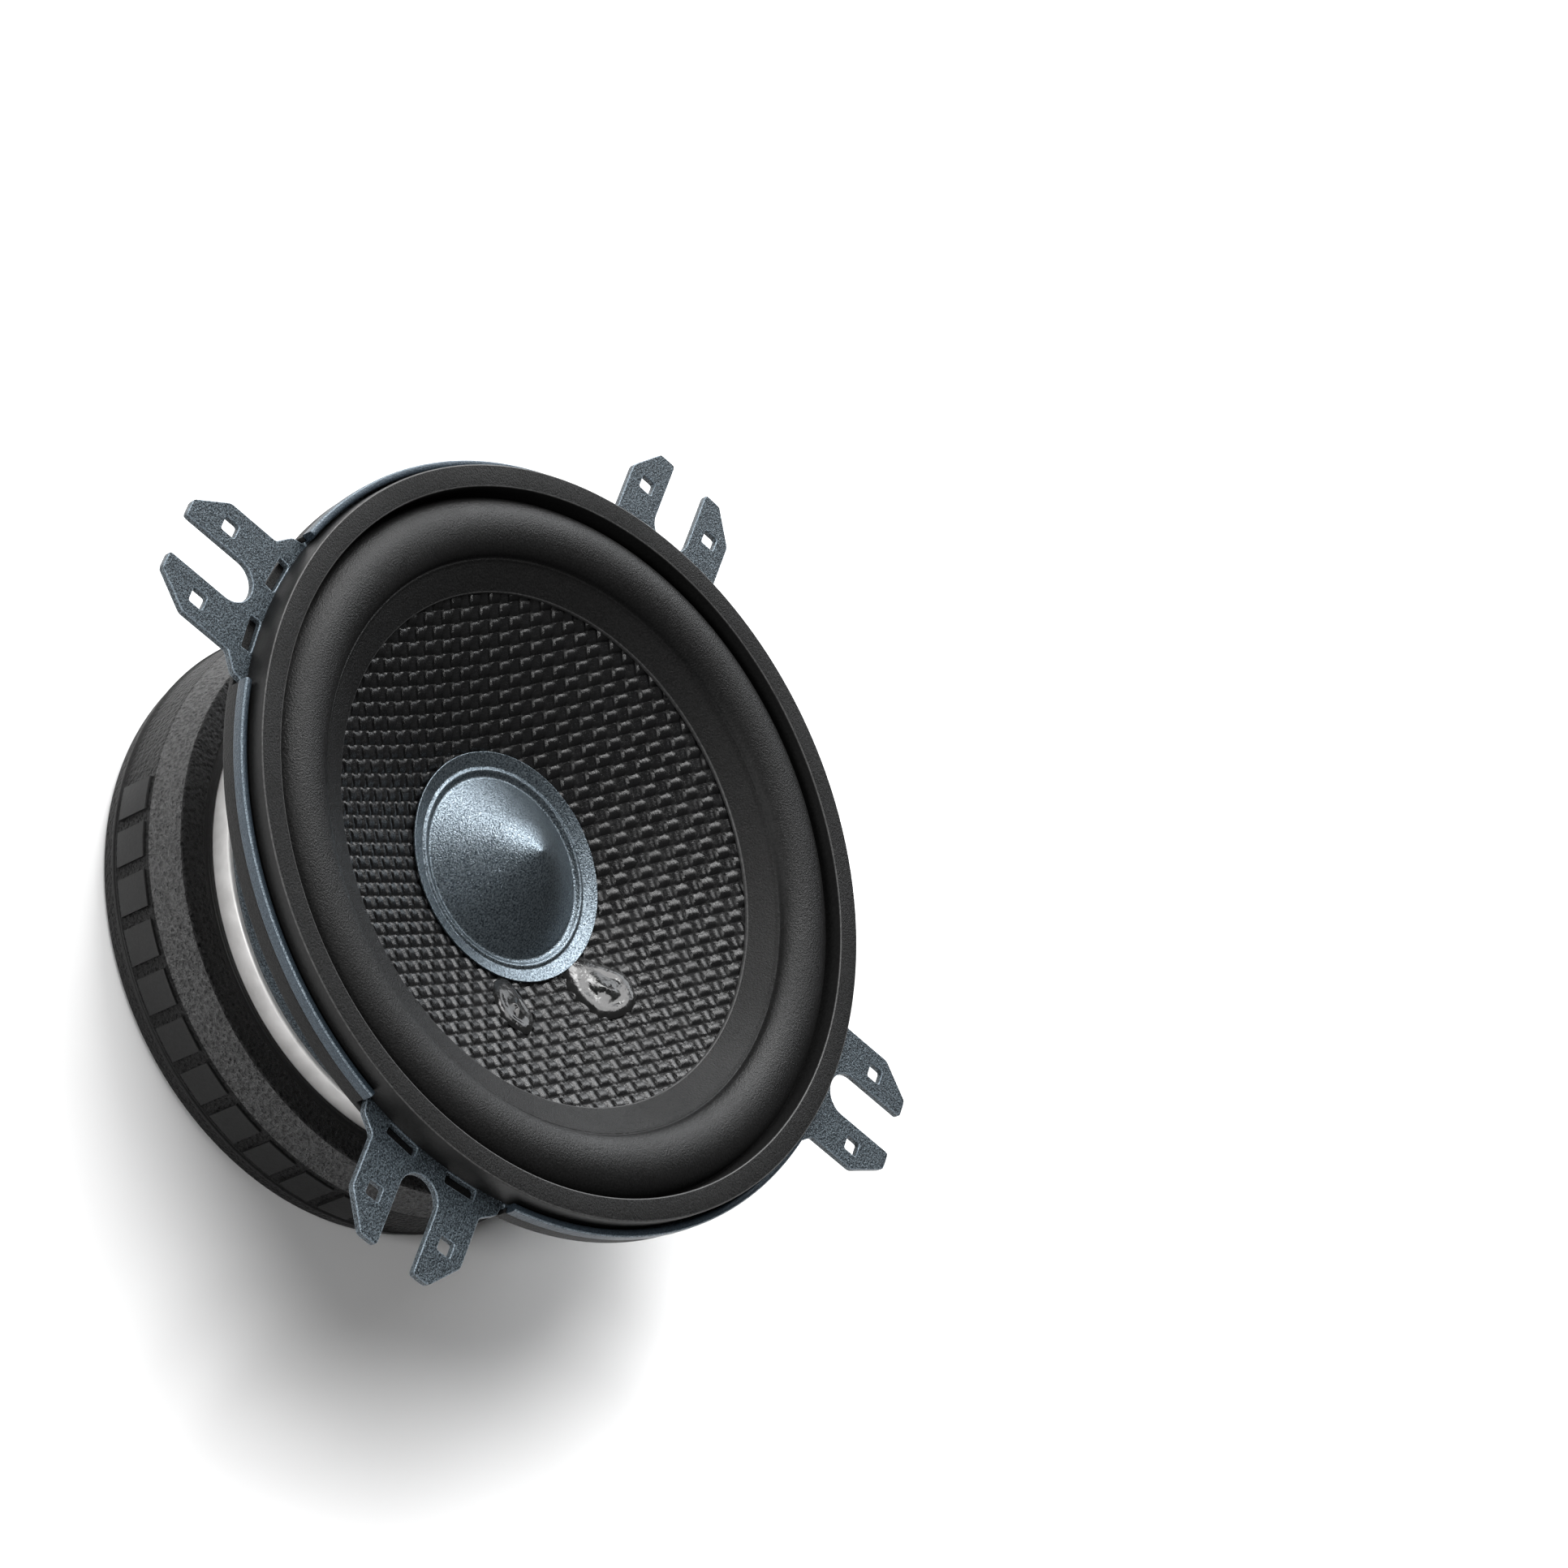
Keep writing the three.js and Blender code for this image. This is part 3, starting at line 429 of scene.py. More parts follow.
# %% Rounded outlines
def rounded(corners, segments=3):
    """The loop of points of a flat outline. Each corner is (x, y) or (x, y, rounding), in millimetres."""
    bm = bmesh.new()
    radius = bm.verts.layers.float.new("radius")
    for corner in corners:
        vertex = bm.verts.new((corner[0], corner[1], 0))
        vertex[radius] = corner[2] if len(corner) > 2 else 0
    bm.faces.new(bm.verts)
    for size in sorted({corner[2] for corner in corners if len(corner) > 2 and corner[2] > 0}):
        sharp = [v for v in bm.verts if abs(v[radius] - size) < 1e-6]
        made = bmesh.ops.bevel(
            bm, geom=sharp, offset=size, offset_type="OFFSET", affect="VERTICES",
            segments=segments, profile=0.5, material=-1, clamp_overlap=False,
        )
        for vertex in made["verts"]:
            vertex[radius] = 0
    bm.faces.ensure_lookup_table()
    loop = [v.co.copy() for v in bm.faces[0].verts]
    bm.free()
    return loop


def arc(centre, radius, start, end, steps):
    """Points of an arc between two angles in degrees, both ends included."""
    angles = [math.radians(start + (end - start) * i / steps) for i in range(steps + 1)]
    return [(centre[0] + radius * math.cos(a), centre[1] + radius * math.sin(a)) for a in angles]


print("a rounded square has", len(rounded([(0, 0, 1), (9, 0, 1), (9, 9, 1), (0, 9, 1)])), "points")

# %% [markdown]
# A finished mesh becomes a piece: it gets its finish, smooth shading that stays crisp at real edges, the
# body it moves with, and the frame's solids that it stands for.

# %% Pieces
FRAME_BODY = "frame"
MOVING_BODY = "moving_assembly"


def show(name, data):
    """Makes an object of some data and puts it in the scene."""
    made = bpy.data.objects.new(name, data)
    bpy.context.scene.collection.objects.link(made)
    return made


def piece(name, bm, material, body=FRAME_BODY, stands_for=(), crease=32, turn=0.0):
    """Makes an object of a bmesh measured in millimetres, turned by an angle in degrees."""
    bmesh.ops.remove_doubles(bm, verts=bm.verts, dist=1e-4)
    bmesh.ops.recalc_face_normals(bm, faces=bm.faces)
    to_place = Matrix.Rotation(math.radians(turn), 4, "Z") @ Matrix.Scale(MM, 4)
    bmesh.ops.transform(bm, matrix=to_place, verts=bm.verts)
    mesh = bpy.data.meshes.new(name)
    bm.to_mesh(mesh)
    bm.free()
    mesh.shade_smooth()
    mesh.set_sharp_from_angle(angle=math.radians(crease))
    mesh.materials.append(material)
    made = show(name, mesh)
    if body:
        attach(made, body)
    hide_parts(*stands_for)
    return made


# %% [markdown]
# A turned piece is its outline spun round the axis. The outline lies in the plane of radius and height. A
# full turn is merged where it closes, and a part turn has its two ends filled.

# %% Turning
def turned(corners, steps=160, start=0.0, sweep=360.0, into=None, segments=3):
    """Spins an outline of (radius, height, rounding) round the axis and returns the bmesh."""
    bm = into or bmesh.new()
    loop = [bm.verts.new((p.x, 0, p.y)) for p in rounded(corners, segments)]
    wire = [bm.edges.new(pair) for pair in zip(loop, loop[1:] + loop[:1])]
    bmesh.ops.rotate(bm, verts=loop, cent=(0, 0, 0), matrix=Matrix.Rotation(math.radians(start), 3, "Z"))
    full = abs(sweep - 360) < 1e-6
    bmesh.ops.spin(
        bm, geom=loop + wire, cent=(0, 0, 0), axis=(0, 0, 1), dvec=(0, 0, 0),
        angle=math.radians(sweep), steps=steps, use_merge=full, use_duplicate=False,
    )
    if not full:
        bmesh.ops.holes_fill(bm, edges=[e for e in bm.edges if e.is_boundary], sides=0)
    return bm


# %% [markdown]
# A flat piece is one outline, perhaps with holes, filled and raised. `triangle_fill` copes with holes,
# which a single Blender face can't have. The edges of the sheet are bevelled by a modifier, and weighted
# normals keep the flat faces flat, which gives the thin bright line that a real stamped edge has.

# %% Flat pieces
def flat(outlines, floor, roof):
    """Fills outlines (the first outside, the rest holes) at a height and raises them to another."""
    bm = bmesh.new()
    edges = []
    for outline in outlines:
        loop = [bm.verts.new((p[0], p[1], floor)) for p in outline]
        edges += [bm.edges.new(pair) for pair in zip(loop, loop[1:] + loop[:1])]
    filled = bmesh.ops.triangle_fill(bm, edges=edges, use_beauty=True, use_dissolve=False)
    faces = [g for g in filled["geom"] if isinstance(g, bmesh.types.BMFace)]
    raised = bmesh.ops.extrude_face_region(bm, geom=faces, use_keep_orig=True)
    tops = [g for g in raised["geom"] if isinstance(g, bmesh.types.BMVert)]
    bmesh.ops.translate(bm, verts=tops, vec=(0, 0, roof - floor))
    return bm


def soften_edges(made, width, segments=2, angle=35, highlight_coat=None):
    """Bevels a piece's sharp edges by width millimetres. The bevel may have a finish of its own, which paints
    a highlight along the edges.
    """
    bevel = made.modifiers.new("edge", "BEVEL")
    bevel.width = width * MM
    bevel.segments = segments
    bevel.limit_method = "ANGLE"
    bevel.angle_limit = math.radians(angle)
    bevel.harden_normals = False
    bevel.use_clamp_overlap = False
    if highlight_coat:
        made.data.materials.append(highlight_coat)
        bevel.material = 1
    weigh = made.modifiers.new("flat", "WEIGHTED_NORMAL")
    weigh.keep_sharp = False
    return made


def paint_faces(made, material, chosen):
    """Gives the faces for which chosen(face) is true one more material."""
    made.data.materials.append(material)
    for face in made.data.polygons:
        if chosen(face):
            face.material_index = len(made.data.materials) - 1


print("helpers ready")

# %% [markdown]
# ## Camera
# The speaker is seen from in front of it and to one side, with a long lens from 0.7 m away, and the camera
# is rolled so that the speaker leans on its edge. The camera's place and its two directions are measured in
# the part's own frame, so every view agrees with it.

# %% Camera
camera_place = Vector((-398.8, 281.0, 511.2)) * MM
camera_looks = Vector((0.6097, -0.4381, -0.6605)).normalized()
camera_up = Vector((0.7487, 0.5918, 0.2986))
camera_right = camera_looks.cross(camera_up).normalized()
camera_up = camera_right.cross(camera_looks)
camera_data = bpy.data.cameras.new("camera")
camera_data.sensor_width = 36
camera_data.lens = 120.07
camera_data.clip_start = 0.01
camera_data.clip_end = 20
camera = show("camera", camera_data)
camera.matrix_world = Matrix.Translation(camera_place) @ Matrix(
    (camera_right, camera_up, -camera_looks)
).transposed().to_4x4()
bpy.context.scene.camera = camera
print("camera at", [round(v, 3) for v in camera_place])

# %% [markdown]
# ## Basket
# The basket is one steel stamping: a bottom plate, a short cup, a tapered wall with four windows, a flange,
# a folded hem round the flange and four slotted ears. Modelling it as one mesh would make every hole fight
# the round shape. The flange and the bowl meet between the two gaskets, where nothing shows, so they are
# made as two pieces: the bowl is turned and the flange is cut from sheet. The windows are cut from the
# bowl with a boolean modifier, by rounded blocks.

# %% Basket bowl
BOWL_HOLE = 20


def window_cutter():
    """Four rounded blocks that cut the windows between the ears."""
    bm = bmesh.new()
    sill, lintel = BASKET_BACK + CUP_HEIGHT, FLANGE - 4.5
    half, near, far = 17, 30, 55
    corners = [(-half, sill, 3), (half, sill, 3), (half, lintel, 4), (-half, lintel, 4)]
    loop = [bm.verts.new((near, p.x, p.y)) for p in rounded(corners, segments=5)]
    face = bm.faces.new(loop)
    pushed = bmesh.ops.extrude_face_region(bm, geom=[face], use_keep_orig=True)
    moved = [g for g in pushed["geom"] if isinstance(g, bmesh.types.BMVert)]
    bmesh.ops.translate(bm, verts=moved, vec=(far - near, 0, 0))
    bmesh.ops.recalc_face_normals(bm, faces=bm.faces)
    first = list(bm.verts) + list(bm.faces)
    for turn in (90, 180, 270):
        copy = bmesh.ops.duplicate(bm, geom=first)
        verts = [g for g in copy["geom"] if isinstance(g, bmesh.types.BMVert)]
        turned_by = Matrix.Rotation(math.radians(turn), 3, "Z")
        bmesh.ops.rotate(bm, verts=verts, cent=(0, 0, 0), matrix=turned_by)
    return bm


def make_bowl():
    cup_top = BASKET_BACK + CUP_HEIGHT
    knee = FLANGE - 2.2
    bm = turned([
        (BOWL_HOLE, BASKET_BACK, 0.15), (CUP_RADIUS, BASKET_BACK, 1.4), (CUP_RADIUS, cup_top, 2.4),
        (WALL_RADIUS, knee, 1.8), (WALL_RADIUS, FLANGE - SHEET, 0.5), (GASKET_INNER + 1, FLANGE - SHEET),
        (GASKET_INNER + 1, FLANGE), (WALL_RADIUS - SHEET, FLANGE, 0.9), (WALL_RADIUS - SHEET, knee, 1.6),
        (CUP_RADIUS - SHEET, cup_top, 2.2), (CUP_RADIUS - SHEET, BASKET_BACK + SHEET, 0.7),
        (BOWL_HOLE, BASKET_BACK + SHEET, 0.15),
    ], steps=128, segments=3)
    bowl = piece("basket_bowl", bm, powder_coat, stands_for=["basket"])
    cutter_mesh = bpy.data.meshes.new("window_cutter")
    cutter_bm = window_cutter()
    place = Matrix.Rotation(math.radians(45), 4, "Z") @ Matrix.Scale(MM, 4)
    bmesh.ops.transform(cutter_bm, matrix=place, verts=cutter_bm.verts)
    cutter_bm.to_mesh(cutter_mesh)
    cutter_bm.free()
    cutter = show("window_cutter", cutter_mesh)
    cut = bowl.modifiers.new("windows", "BOOLEAN")
    cut.operation = "DIFFERENCE"
    cut.solver = "EXACT"
    cut.object = cutter
    bpy.context.view_layer.update()
    bowl_cut = bowl.evaluated_get(bpy.context.evaluated_depsgraph_get())
    with_windows = bpy.data.meshes.new_from_object(bowl_cut)
    bowl.modifiers.clear()
    bowl.data = with_windows
    bowl.data.set_sharp_from_angle(angle=math.radians(32))
    bpy.data.objects.remove(cutter)
    soften_edges(bowl, 0.12, segments=2, angle=40)
    return bowl


basket_bowl = make_bowl()
print("bowl with windows:", len(basket_bowl.data.polygons), "faces")

# %% [markdown]
# The flange is a flat ring with four ears. Each ear is two fingers round an open U slot for the screw, with
# a small square key hole in each finger and two clip slots at the root. One ear's outline is written once,
# from its middle outwards, and joined to its neighbours by arcs of the flange's edge.

# %% Flange and ears
def rotate_points(points, degrees):
    turn = Matrix.Rotation(math.radians(degrees), 2)
    return [tuple(turn @ Vector((p[0], p[1]))) for p in points]


def rectangle(half_x, half_y, rounding):
    """The corners of a rectangle round the middle, each with its rounding."""
    corners = (-half_x, -half_y), (half_x, -half_y), (half_x, half_y), (-half_x, half_y)
    return [(x, y, rounding) for x, y in corners]


SLOT_HALF = 3.1
SLOT_CENTRE = HEM_RADIUS + 4.6
EAR_TIP = HEM_RADIUS + 14
HEM_HALF_GAP = 13.8


def ear_outline():
    """One side of an ear's outline to the other, with its corners rounded."""
    tip_outer = SLOT_HALF + 2.7
    notch = math.radians(HEM_HALF_GAP - 0.3)
    root = (FLANGE_RADIUS - 0.4) * math.cos(notch), (FLANGE_RADIUS - 0.4) * math.sin(notch)
    right = [
        (root[0], -root[1]), (HEM_RADIUS - 0.6, -11.5, 0.3), (HEM_RADIUS + 1.3, -9.3, 0.3),
        (HEM_RADIUS + 9.1, -9.3, 0.4), (EAR_TIP, -tip_outer, 0.5), (EAR_TIP, -SLOT_HALF, 0.5),
    ]
    bottom = arc((SLOT_CENTRE, 0), SLOT_HALF, -90, -270, 18)
    left = [(x, -y, *rest) for x, y, *rest in reversed(right)]
    closed = right + bottom + left + [(20, 0)]
    return [p for p in rounded(closed) if p.x > 30]


def flange_outlines():
    outside = []
    for i in range(EARS):
        angle = i * 360 / EARS
        outside += rotate_points(ear_outline(), angle)
        outside += arc((0, 0), FLANGE_RADIUS, angle + HEM_HALF_GAP, angle + 90 - HEM_HALF_GAP, 36)
    inside = arc((0, 0), GASKET_INNER, 0, 360 - 360 / 96, 95)
    holes = [inside]
    key_hole = rounded(rectangle(1.1, 1.1, 0.28))
    clip_slot = rounded(rectangle(0.8, 2.45, 0.25))
    for i in range(EARS):
        for side in (-1, 1):
            key = [(p.x + HEM_RADIUS + 7.85, p.y + side * 6.15) for p in key_hole]
            clip = rotate_points([(p.x + HEM_RADIUS - 0.45, p.y) for p in clip_slot], side * 5.6)
            holes += [rotate_points(key, i * 90), rotate_points(clip, i * 90)]
    return [outside] + holes


def make_flange():
    bm = flat(flange_outlines(), FLANGE - SHEET, FLANGE)
    made = piece("basket_flange", bm, powder_coat, stands_for=["basket"])
    # Its bevels get the lighter coat, a painted highlight along every edge of the flange and ears.
    return soften_edges(made, 0.14, segments=3, highlight_coat=edge_highlight_coat)


basket_flange = make_flange()
print("flange with ears:", len(basket_flange.data.polygons), "faces")

# %% [markdown]
# The hem is the flange's edge, turned up and folded back outwards between the ears. In section it is a
# narrow bar with a round top on a thin neck, so it is a part turn of that section, four times over.

# %% Hem
def make_hem():
    bm = bmesh.new()
    top = FLANGE + HEM_HEIGHT
    section = [
        (HEM_INNER + 0.02, FLANGE - 0.25), (FLANGE_RADIUS, FLANGE - 0.25), (FLANGE_RADIUS, FLANGE + 0.5, 0.1),
        (HEM_RADIUS - 0.12, FLANGE + 0.3, 0.2), (HEM_RADIUS, FLANGE + 0.45, 0.12), (HEM_RADIUS, top, 0.34),
        (HEM_INNER + 0.02, top, 0.5),
    ]
    for i in range(EARS):
        start = i * 90 + HEM_HALF_GAP
        turned(section, steps=44, start=start, sweep=90 - 2 * HEM_HALF_GAP, into=bm, segments=4)
    made = piece("basket_hem", bm, edge_coat, stands_for=["basket"], crease=45)

    def on_front_edge(face):
        radius, height = face.center.xy.length / MM, face.center.z / MM
        return 0.35 < face.normal.z < 0.93 and radius > HEM_RADIUS - 0.36 and height > top - 0.4

    # The hem's rounded front edge gets the lighter coat, a painted highlight along it.
    paint_faces(made, edge_highlight_coat, on_front_edge)
    return made


basket_hem = make_hem()
print("hem:", len(basket_hem.data.polygons), "faces")

# %% [markdown]
# ## Gaskets
# The front gasket is a tall rubber ring that seals against a grille. Its front face is pebbled, its walls
# are smooth, and its front corners are painted a little lighter, a painted highlight along them. The three
# differ in finish, so faces that point up get the pebbled rubber, the roundings beside them the lighter one
# with the painted highlight and the rest the smooth one.

# %% Front gasket
def make_front_gasket():
    foot, top = FLANGE + 0.75, high("front_gasket")
    bm = turned([
        (GASKET_INNER - 0.1, foot + 0.1, 0.12), (GASKET_INNER + 0.1, foot - 0.15),
        (GASKET_RADIUS - 0.6, foot - 0.15), (GASKET_RADIUS - 0.6, FLANGE + 0.02),
        (GASKET_RADIUS, FLANGE + 0.02, 0.1), (GASKET_RADIUS, top, 0.2),
        (GASKET_INNER, top, 0.2), (GASKET_INNER, foot + 0.4, 0.15),
    ], steps=200, segments=3)
    made = piece("front_gasket_ring", bm, smooth_rubber,
                 stands_for=["front_gasket"], crease=50)
    corner = (top - 0.3) * MM
    paint_faces(made, gasket_rubber, lambda face: face.normal.z > 0.97)
    # The rounded front corners get the lighter rubber: a painted highlight.
    paint_faces(made, highlight_line_rubber, lambda face: 0.3 < face.normal.z < 0.97 and face.center.z > corner)
    return made


front_gasket = make_front_gasket()
print("front gasket:", len(front_gasket.data.polygons), "faces")

# %% [markdown]
# The rear gasket is a flat ring behind the flange, with a thin upstand that hugs the flange's edge between
# the ears. The ring is a full turn and each upstand a part turn, in one mesh.

# %% Rear gasket
def make_rear_gasket():
    back, front = low("rear_gasket"), FLANGE - SHEET - 0.05
    outer, inner = reach("rear_gasket"), WALL_RADIUS + 0.15
    bm = turned([
        (inner, back, 0.15), (outer, back, 0.25), (outer, front, 0.2), (inner, front, 0.1),
    ], steps=200)
    wall = [(FLANGE_RADIUS + 0.05, front - 0.3), (outer, front - 0.3), (outer, FLANGE + 0.22, 0.15),
            (FLANGE_RADIUS + 0.05, FLANGE + 0.22, 0.15)]
    for i in range(EARS):
        turned(wall, steps=44, start=i * 90 + HEM_HALF_GAP, sweep=90 - 2 * HEM_HALF_GAP, into=bm)
    return piece("rear_gasket_ring", bm, gasket_rubber,
                 stands_for=["rear_gasket"], crease=50)


rear_gasket = make_rear_gasket()
print("rear gasket:", len(rear_gasket.data.polygons), "faces")

# %% [markdown]
# ## Surround
# The surround is the soft half roll that lets the cone move. It is moulded in one with a flat outer flange,
# which the front gasket holds down, and an inner lip that lies on the cone. A fine bead runs along the foot
# of the roll. It is one turned outline: the upper side goes out over the roll and the lower side comes back
# under it.
#
# When the cone moves, the outer flange stays and the inner lip goes along. The ring is made without a
# body, and its place is baked into its mesh.

# %% Surround
ROLL_OUTER = GASKET_INNER - 0.7
ROLL_INNER = ROLL_OUTER - 7.9
RUBBER = 0.45
ROLL_TOP = high("surround")


def surround_outline():
    outer_foot = FLANGE + 0.3
    inner_foot = cone_front(ROLL_INNER) + 0.26
    middle, half = (ROLL_OUTER + ROLL_INNER) / 2, (ROLL_OUTER - ROLL_INNER) / 2
    steps = 28
    over, under = [], []
    for i in range(steps + 1):
        angle, share = math.pi * i / steps, i / steps
        foot = outer_foot + (inner_foot - outer_foot) * share
        rise = ROLL_TOP - RUBBER - foot
        out, up = math.cos(angle), rise * math.sin(angle)
        over.append((middle + (half + RUBBER / 2) * out, foot + RUBBER + up))
        under.append((middle + (half - RUBBER / 2) * out, foot + up))
    edge = GASKET_RADIUS - 0.9
    lip_foot = cone_front(LIP_RADIUS) + 0.2
    bead_foot = cone_front(ROLL_INNER - 0.8) + 0.26 + RUBBER
    bead = [(ROLL_INNER - 0.35, bead_foot + 0.2, 0.1), (ROLL_INNER - 0.62, bead_foot + 0.2, 0.1),
            (ROLL_INNER - 0.85, bead_foot - 0.02, 0.15)]
    return (
        [(edge, outer_foot), (edge, outer_foot + RUBBER), (ROLL_OUTER + 0.75, outer_foot + RUBBER, 0.2)]
        + over[1:-1] + bead
        + [(LIP_RADIUS, lip_foot + RUBBER - 0.02, 0.18), (LIP_RADIUS, lip_foot, 0.05)]
        + list(reversed(under[1:-1]))
    )


def weigh_by_radius(made):
    """Bakes a piece's place into its mesh."""
    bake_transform(made)


def make_surround():
    bm = turned(surround_outline(), steps=200, segments=3)
    made = piece("surround_roll", bm, roll_rubber,
                 body=None, stands_for=["surround"], crease=50)
    lip, brink = (ROLL_INNER - 0.4) * MM, (LIP_RADIUS + 0.15) * MM
    paint_faces(made, lip_rubber, lambda face: face.center.xy.length < lip)
    # The lip's inner edge gets the lighter rubber: a painted highlight along it.
    paint_faces(made, highlight_line_rubber, lambda face: face.center.xy.length < brink)
    weigh_by_radius(made)
    return made


surround = make_surround()
print("surround:", len(surround.data.polygons), "faces")

# %% [markdown]
# ## Cone
# The cone is stiff cloth pressed to a shallow cone: yarns as wide as a match is thick go over and under each
# other in a plain weave. Displacing a turned cone would smear the yarns, because its faces don't line up
# with them. So the cone starts as a flat grid whose lines run along the yarns, eight faces to a yarn. Both
# sets of yarns are waves with a rounded section, and each vertex gets the height of whichever yarn is
# higher there, and then the height of the cone. Faces outside the ring are deleted and the ragged rim is
# pulled onto its circle. The back needs no weave, so both rims are drawn down and bridged. How high a
# vertex lies is kept as `crown`, which the finish uses to paint shade into the gaps between yarns.

# %% Cone
FACES_PER_YARN = 8
YARN_WAVE = 0.40
YARN_ROUND = 0.14
YARN_FLATNESS = 14
CLOTH_INNER = 14.4
CLOTH_OUTER = LIP_RADIUS + 1.2


def yarn_height(u, v):
    """Height of the cloth at a place measured in yarns: the higher of the two yarns that cross there."""
    flip = 1 if (math.floor(u) + math.floor(v)) % 2 == 0 else -1
    along_u, along_v = u - math.floor(u), v - math.floor(v)
    wave_u = flip * math.sin(math.pi * along_u)
    wave_v = -flip * math.sin(math.pi * along_v)
    round_u = 1 - abs(2 * along_v - 1) ** YARN_FLATNESS
    round_v = 1 - abs(2 * along_u - 1) ** YARN_FLATNESS
    return max(YARN_WAVE * wave_u + YARN_ROUND * round_u, YARN_WAVE * wave_v + YARN_ROUND * round_v, 0)


def make_cone():
    bm = bmesh.new()
    crown = bm.verts.layers.float.new("crown")
    yarns = 2 * math.ceil(CLOTH_OUTER / YARN)
    count = yarns * FACES_PER_YARN
    bmesh.ops.create_grid(bm, x_segments=count, y_segments=count, size=yarns * YARN / 2)
    outside = [f for f in bm.faces if not CLOTH_INNER < f.calc_center_median().length < CLOTH_OUTER]
    bmesh.ops.delete(bm, geom=outside, context="FACES")
    turn = Matrix.Rotation(WEAVE_TURN, 3, "Z")
    for vertex in bm.verts:
        hump = yarn_height(vertex.co.x / YARN + 1e-6, vertex.co.y / YARN + 1e-6)
        if vertex.is_boundary:
            rim = CLOTH_INNER if vertex.co.length < LIP_RADIUS / 2 else CLOTH_OUTER
            vertex.co = vertex.co.normalized() * rim
        radius = math.hypot(vertex.co.x, vertex.co.y)
        vertex.co = turn @ vertex.co
        vertex.co.z = cone_front(radius) - 0.3 + hump
        vertex[crown] = hump / (YARN_WAVE + YARN_ROUND)
    rims = [e for e in bm.edges if e.is_boundary]
    walls = bmesh.ops.extrude_edge_only(bm, edges=rims)["geom"]
    feet = [g for g in walls if isinstance(g, bmesh.types.BMVert)]
    for foot in feet:
        foot.co.z = cone_front(math.hypot(foot.co.x, foot.co.y)) - 0.55
    loops = [g for g in walls if isinstance(g, bmesh.types.BMEdge) and g.is_boundary]
    bmesh.ops.bridge_loops(bm, edges=loops)
    return piece("woven_cone", bm, woven_fibre, MOVING_BODY, ["cone"], crease=38)


woven_cone = make_cone()
print("woven cone:", len(woven_cone.data.polygons), "faces")

# %% [markdown]
# Where the cone meets the coil's former it turns down in a plain collar, and behind the surround's lip its
# rim is plain too. Both are turned pieces of the same cloth.

# %% Cone collar and rim
def make_cone_collar():
    front = cone_front(NECK_RADIUS)
    bm = turned([
        (NECK_RADIUS, front - 2.9, 0.1), (NECK_RADIUS + 0.5, front - 2.9, 0.1),
        (NECK_RADIUS + 0.5, cone_front(NECK_RADIUS + 0.5) - 0.55, 0.2),
        (CLOTH_INNER + 0.6, cone_front(CLOTH_INNER + 0.6) - 0.55, 0.05),
        (CLOTH_INNER + 0.6, cone_front(CLOTH_INNER + 0.6) - 0.12, 0.05), (NECK_RADIUS, front - 0.1, 0.1),
    ], steps=96)
    return piece("cone_collar", bm, woven_fibre, MOVING_BODY, ["cone"])


def make_cone_rim():
    inner = CLOTH_OUTER - 0.4
    bm = turned([
        (inner, cone_front(inner) - 0.5, 0.05), (CONE_RADIUS, cone_front(CONE_RADIUS) - 0.5, 0.1),
        (CONE_RADIUS, cone_front(CONE_RADIUS) - 0.02, 0.1), (inner, cone_front(inner) - 0.02, 0.05),
    ], steps=160)
    return piece("cone_rim", bm, woven_fibre, MOVING_BODY, ["cone"])


cone_collar = make_cone_collar()
cone_rim = make_cone_rim()
print("cone collar and rim made")

# %% [markdown]
# ## Dust cap
# The cap is spun from thin aluminium: a flat flange glued to the cone, a narrow raised ridge, a groove, and
# then a low cone with a soft round tip. The light rolls over it in one broad streak, so it is turned with
# many steps and generous rounding.

# %% Dust cap
def flange_top(radius):
    """Height of the front of the cap's glued flange, which lies on the cone."""
    return cone_front(radius) + 0.62


def make_dust_cap():
    flange_radius = reach("dust_cap")
    tip = high("dust_cap")
    ridge = 13.35
    bm = turned([
        (0, tip - 0.5), (3, tip - 1.5, 2),
        (11.6, cone_front(12.6) + 0.9, 1), (12.4, cone_front(12.6) + 0.4),
        (flange_radius, flange_top(flange_radius) - 0.4, 0.1),
        (flange_radius, flange_top(flange_radius), 0.16),
        (ridge + 0.45, flange_top(ridge + 0.45), 0.25), (ridge + 0.2, flange_top(ridge) + 0.42, 0.18),
        (ridge - 0.15, flange_top(ridge) + 0.42, 0.18), (ridge - 0.45, flange_top(ridge) + 0.1, 0.2),
        (12.45, flange_top(12.45) + 0.25, 0.3), (3.1, tip - 1.25, 3.0), (0, tip - 0.02),
    ], steps=144, segments=6)
    return piece("dust_cap_dome", bm, cap_metal, MOVING_BODY, ["dust_cap"], crease=60)


dust_cap = make_dust_cap()
print("dust cap:", len(dust_cap.data.polygons), "faces")

# %% [markdown]
# ## Adhesive dabs
# Each dab was squeezed out over the lead's end: a flat puddle, drawn out to a tail towards the cap, with a
# hump in the middle where the lead is. It starts as a sphere, pressed flat, and its vertices are moved: the
# tail by how far they lie towards the cap, the hump and its moat by their distance from the middle.

# %% Adhesive dabs
DAB_RADIUS = 20.9
DAB_SPREAD = 24


